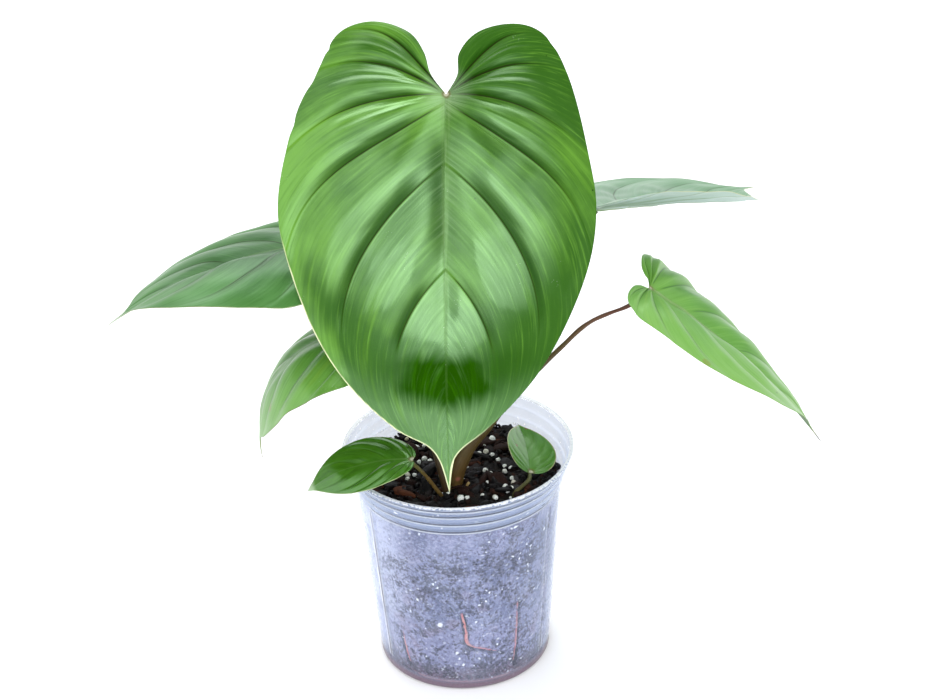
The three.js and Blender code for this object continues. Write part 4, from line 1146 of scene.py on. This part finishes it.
def bark_material():
    s = Shader("bark_chips")
    pick, grain = s.attribute("pick"), s.noise(500, 4, 0.65)
    colour = s.layers(s.mix(pick.ramp(0.45, 0.9), (0.0035, 0.003, 0.0035), (0.018, 0.007, 0.005)), [
        (pick.ramp(0.9, 0.99), (0.09, 0.028, 0.012)),
        (grain.ramp(0.45, 0.8, 0, 0.6), (0.012, 0.009, 0.008)),
    ])
    return s.finish(
        Base_Color=colour, Roughness=pick.ramp(0, 1, 0.45, 0.8), Specular_IOR_Level=0.12,
        Normal=s.bump(grain, 0.0006, 0.8),
    )


def perlite_material():
    s = Shader("perlite")
    pores = s.cells(1500)
    colour = s.layers(s.mix(s.attribute("pick").ramp(0.55, 0.95), (0.82, 0.85, 0.8), (0.6, 0.52, 0.36)), [
        (pores.ramp(0.3, 0.1, 0, 0.45), (0.22, 0.2, 0.16)),
        (s.noise(300, 3).ramp(0.58, 0.72, 0, 0.7), (0.1, 0.07, 0.05)),
    ])
    return s.finish(
        Base_Color=colour, Roughness=pores.ramp(0, 0.6, 0.9, 0.6), Normal=s.bump(pores, 0.0005, 0.9)
    )


def make_soil_bed():
    """The mass of the mix: a lumpy top and side, on the pot's floor."""

    def side(height):
        return float(wall_radius(height)) - LINING

    heights = [SOIL_FLOOR + (SOIL_SHOULDER - SOIL_FLOOR) * i / 52 for i in range(53)]
    profile = [(0, SOIL_FLOOR), (12, SOIL_FLOOR), (24, SOIL_FLOOR), (36, SOIL_FLOOR), (38.5, 1.6)]
    profile += [(side(1.6), 1.6)] + [(side(h) - 0.6, h) for h in heights]
    profile += [(side(SOIL_SHOULDER) - 1.5 - 50.9 * i / 34, SOIL_TOP - 0.6) for i in range(35)]
    turn = np.linspace(0, FULL_TURN, SOIL_SIDES, endpoint=False)
    rings = np.array([
        np.stack([max(radius, 0) * np.sin(turn), -max(radius, 0) * np.cos(turn), np.full(SOIL_SIDES, h)], -1)
        for radius, h in profile
    ])
    lump = 0.6 * ripples(rings, 9, 61) + 0.4 * ripples(rings, 4, 62)
    radius, height = np.hypot(rings[..., 0], rings[..., 1]), rings[..., 2]
    is_top = height > SOIL_TOP - 1
    is_side = (height > 2.5) & ~is_top & (radius > 40)
    outward = rings * [1, 1, 0] / np.maximum(radius, 1)[..., None]
    rings = rings - outward * (HOLLOW_DEPTH * np.clip(0.6 - lump, 0, 2) * is_side)[..., None]
    rings[..., 2] += LUMP_HEIGHT * lump * is_top
    faces = grid_faces(ring_numbers(len(profile), SOIL_SIDES))
    vertices, faces, values = merged(rings.reshape(-1, 3), faces, {})
    make_piece("soil_bed", vertices, faces, soil_material(), "soil", values)


def mesh_arrays(mesh):
    """A bmesh's vertices and triangles as arrays."""
    bmesh.ops.triangulate(mesh, faces=mesh.faces[:])
    mesh.verts.ensure_lookup_table()
    vertices = np.array([v.co[:] for v in mesh.verts])
    faces = np.array([[v.index for v in f.verts] for f in mesh.faces])
    mesh.free()
    return vertices, faces


def rough_ball():
    """One grain of perlite, about one unit in radius."""
    mesh = bmesh.new()
    bmesh.ops.create_icosphere(mesh, subdivisions=2, radius=1)
    vertices, faces = mesh_arrays(mesh)
    rough = 0.12 * ripples(vertices, 1.1, int(rng.integers(1e6)))
    rough = rough + 0.06 * ripples(vertices, 0.5, int(rng.integers(1e6)))
    return vertices * (1 + rough)[:, None], faces


def rough_chip():
    """One skewed chip of bark with softened edges, about one unit in half length."""
    mesh = bmesh.new()
    bmesh.ops.create_cube(mesh, size=2)
    bmesh.ops.subdivide_edges(mesh, edges=mesh.edges[:], cuts=2, use_grid_fill=True)
    vertices, faces = mesh_arrays(mesh)
    size = np.linalg.norm(vertices, axis=1, keepdims=True)
    vertices = vertices * (1 - 0.32 * smoothstep(size, 1.0, 1.75))
    rough = ripples(vertices, 1.4, int(rng.integers(1e6)))
    shear = rng.normal(scale=0.16, size=(3, 3))
    return (vertices * (1 + 0.13 * rough)[:, None]) @ (np.eye(3) + shear), faces


def spun(axis, angle):
    """A turn about one axis."""
    matrix, i, j = np.eye(3), (axis + 1) % 3, (axis + 2) % 3
    matrix[i, i] = matrix[j, j] = math.cos(angle)
    matrix[j, i] = math.sin(angle)
    matrix[i, j] = -matrix[j, i]
    return matrix


def turned(lean):
    """A random turn about Z, and a lean of about this many radians."""
    a, b, c = rng.uniform(0, FULL_TURN), rng.normal(scale=lean), rng.normal(scale=lean)
    return spun(2, a) @ spun(0, b) @ spun(1, c)


def scatter(name, make_shape, placed, material):
    """Joins grains at (centre, half sizes, turn, pick) into one piece."""
    shapes = [make_shape() for _ in range(GRAIN_SHAPES)]
    vertices, faces, picks, count = [], [], [], 0
    for i, (centre, size, turn, pick) in enumerate(placed):
        points, triangles = shapes[i % GRAIN_SHAPES]
        vertices.append((points * size) @ turn.T + centre)
        faces.append(triangles + count)
        picks.append(np.full(len(points), pick))
        count += len(points)
    values = {"pick": np.concatenate(picks)}
    make_piece(name, np.vstack(vertices), np.vstack(faces), material, "soil", values)


def top_spots(count, reach):
    """Random places on the soil, within reach of its middle."""
    for _ in range(count):
        radius, angle = reach * math.sqrt(rng.uniform()), rng.uniform(0, FULL_TURN)
        yield np.array([radius * math.sin(angle), -radius * math.cos(angle), SOIL_TOP])


def wall_spots(count):
    """Random places against the inside of the wall: point, way inwards, axes with Z straight outwards."""
    for _ in range(count):
        height, degrees = rng.uniform(4, 104), rng.uniform(-180, 180)
        angle = math.radians(degrees)
        normal = np.array([math.sin(angle), -math.cos(angle), 0])
        side = np.array([math.cos(angle), math.sin(angle), 0])
        yield round_the_pot(degrees, height, LINING), -normal, np.stack([side, [0, 0, 1], normal], -1)


make_soil_bed()
# Large chips seen in the photo: place, half length, shade of red.
LARGE_CHIPS = [
    (-29.6, -15.7, 5.5, 0.99), (-27, -19, 4, 0.97), (20.2, -11.6, 6.5, 0.9), (23.8, 22.2, 6, 0.86),
    (-18.5, -4.1, 8, 0.1), (-16, -16.6, 7, 0.2), (12, -9, 5, 0.88), (-25, 18, 5.5, 0.9), (30, 8, 5, 0.5),
    (8, 30, 6, 0.3), (-8, 28, 6, 0.87), (14, -36, 5, 0.92), (-2, -38, 5, 0.3), (32, -26, 4.5, 0.8),
]
# Grains of perlite seen in the photo: place and radius.
SEEN_GRAINS = [
    (18.3, 30.1, 2), (13.7, 24.1, 1.5), (14.7, 17.8, 1.7), (11.1, 16.4, 1.5), (17.8, 14.7, 1.4),
    (21, 9.1, 1.4), (13.9, -0.4, 1.5), (16.7, -3, 1), (24.3, 2.9, 1.5), (24, -1.9, 1.4), (27.2, 1, 1.3),
    (27.4, -8.6, 1.2), (28.1, -12.7, 1.4), (23.8, -16.2, 1.4), (27, -18.1, 1.3), (24.8, -21, 1.1),
    (18.2, -26.1, 1.5), (11.9, -23.8, 1.2), (0.7, -26.1, 2.2), (3.9, -25.8, 1.3), (-5.8, -21.2, 1.3),
    (-9.2, -21.8, 1.3), (-14.8, 10.6, 1.5), (-14.3, 7.9, 1.2), (-17.8, 13.2, 1.6), (-20.5, 10.1, 1.4),
    (-21.8, 25, 1.5), (-17.8, 25.6, 1.3), (-9.8, -3.9, 1.2), (-26.6, -1.6, 1.5), (-26.6, -5.5, 1.2),
]
LYING, ANY_WAY = 0.3, 2
chips = []
for x, y, length, pick in LARGE_CHIPS:
    size = np.array([length, length * rng.uniform(0.5, 0.75), rng.uniform(1.1, 1.7)])
    chips.append((np.array([x, y, SOIL_TOP + 0.5]), size, turned(LYING), pick))
for centre in top_spots(320, 50.5):
    length = rng.uniform(2.2, 5.5)
    size = np.array([length, length * rng.uniform(0.4, 0.75), rng.uniform(0.7, 1.6)])
    if np.hypot(*centre[:2]) + length > 52.5:
        size *= 0.45
    chips.append((centre + [0, 0, rng.uniform(-0.9, 0.7)], size, turned(LYING), rng.uniform(0, 0.97)))
for centre in top_spots(900, 51.5):
    size = rng.uniform(0.5, 1.5) * np.array([1.3, rng.uniform(0.5, 1), 0.7])
    chips.append((centre + [0, 0, rng.uniform(-0.2, 0.9)], size, turned(ANY_WAY), rng.uniform(0, 0.95)))
scatter("bark_on_top", rough_chip, chips, bark_material())
side_chips = []
for centre, inward, axes in wall_spots(1700):
    size = rng.uniform(0.6, 2.4) * np.array([1, rng.uniform(0.4, 1), 0.35])
    turn = axes @ spun(2, rng.uniform(0, FULL_TURN))
    side_chips.append((centre + inward * (size[2] * 1.3 + 0.1), size, turn, rng.uniform()))
scatter("bark_at_wall", rough_chip, side_chips, bark_material())
grains = []
for x, y, radius in SEEN_GRAINS:
    size = radius * np.array([1, rng.uniform(0.85, 1), rng.uniform(0.8, 0.95)])
    grains.append((np.array([x, y, SOIL_TOP + 0.9]), size, turned(ANY_WAY), rng.uniform(0, 0.8)))
for centre in top_spots(36, 50):
    size = rng.uniform(0.6, 1.5) * np.array([1, rng.uniform(0.8, 1), rng.uniform(0.75, 0.95)])
    grains.append((centre + [0, 0, rng.uniform(0.1, 0.9)], size, turned(ANY_WAY), rng.uniform()))
scatter("perlite_on_top", rough_ball, grains, perlite_material())
side_grains = []
for centre, inward, axes in wall_spots(260):
    size = rng.uniform(0.5, 1.5) * np.array([1, rng.uniform(0.6, 1), 0.8])
    side_grains.append((centre + inward * (size.max() + 0.1), size, axes, rng.uniform()))
scatter("perlite_at_wall", rough_ball, side_grains, perlite_material())


# Floor, light and background

FLOOR_HALF = 3.0
# The floor lies this far below the pot, so that the two faces don't flicker.
FLOOR_DROP = 0.0003
WORLD_RADIANCE = 1.4
# The surroundings go dark above this height on the unit sphere.
ZENITH = 0.95


def make_stage():
    mesh = bpy.data.meshes.new("floor")
    corners = [(x * FLOOR_HALF, y * FLOOR_HALF, 0) for x, y in ((-1, -1), (1, -1), (1, 1), (-1, 1))]
    mesh.from_pydata(corners, [], [(0, 1, 2, 3)])
    floor = bpy.data.objects.new("floor", mesh)
    bpy.context.scene.collection.objects.link(floor)
    floor.location.z = -FLOOR_DROP
    s = Shader("floor_paper")
    paper = s.mix(s.noise(8, 2), (0.9, 0.9, 0.905), (0.93, 0.93, 0.93))
    mesh.materials.append(s.finish(Base_Color=paper, Roughness=0.95))


def make_world():
    """Even pale surroundings that are dark overhead."""
    world = bpy.data.worlds.new("studio")
    bpy.context.scene.world = world
    world.use_nodes = True
    nodes = Nodes(world.node_tree)
    rising = nodes.coordinate(nodes.add("TexCoord", "Generated"), 2)
    overhead = rising.ramp(ZENITH - 0.03, ZENITH + 0.02)
    background = world.node_tree.nodes["Background"]
    nodes.put((0.95, 0.97, 1.0), background.inputs["Color"])
    nodes.put(WORLD_RADIANCE - overhead * (WORLD_RADIANCE * 0.95), background.inputs["Strength"])


def softbox(name, place, target, width, height, radiance):
    data = bpy.data.lights.new(name, "AREA")
    data.shape = "RECTANGLE"
    data.size, data.size_y = width, height
    data.energy = radiance * math.pi * width * height
    light = bpy.data.objects.new(name, data)
    light.location = place
    light.rotation_mode = "QUATERNION"
    light.rotation_quaternion = (Vector(target) - Vector(place)).to_track_quat("-Z", "Y")
    light.visible_camera = False
    bpy.context.scene.collection.objects.link(light)


make_stage()
make_world()
softbox("front_softbox", (0, -2.0, 1.5), (0, 0, 0.2), 3.0, 1.7, 1.7)
softbox("back_softbox", (-0.2, 1.7, 2.3), (0, 0, 0.1), 2.2, 1.6, 3.2)
bpy.context.scene.view_settings.view_transform = "Standard"
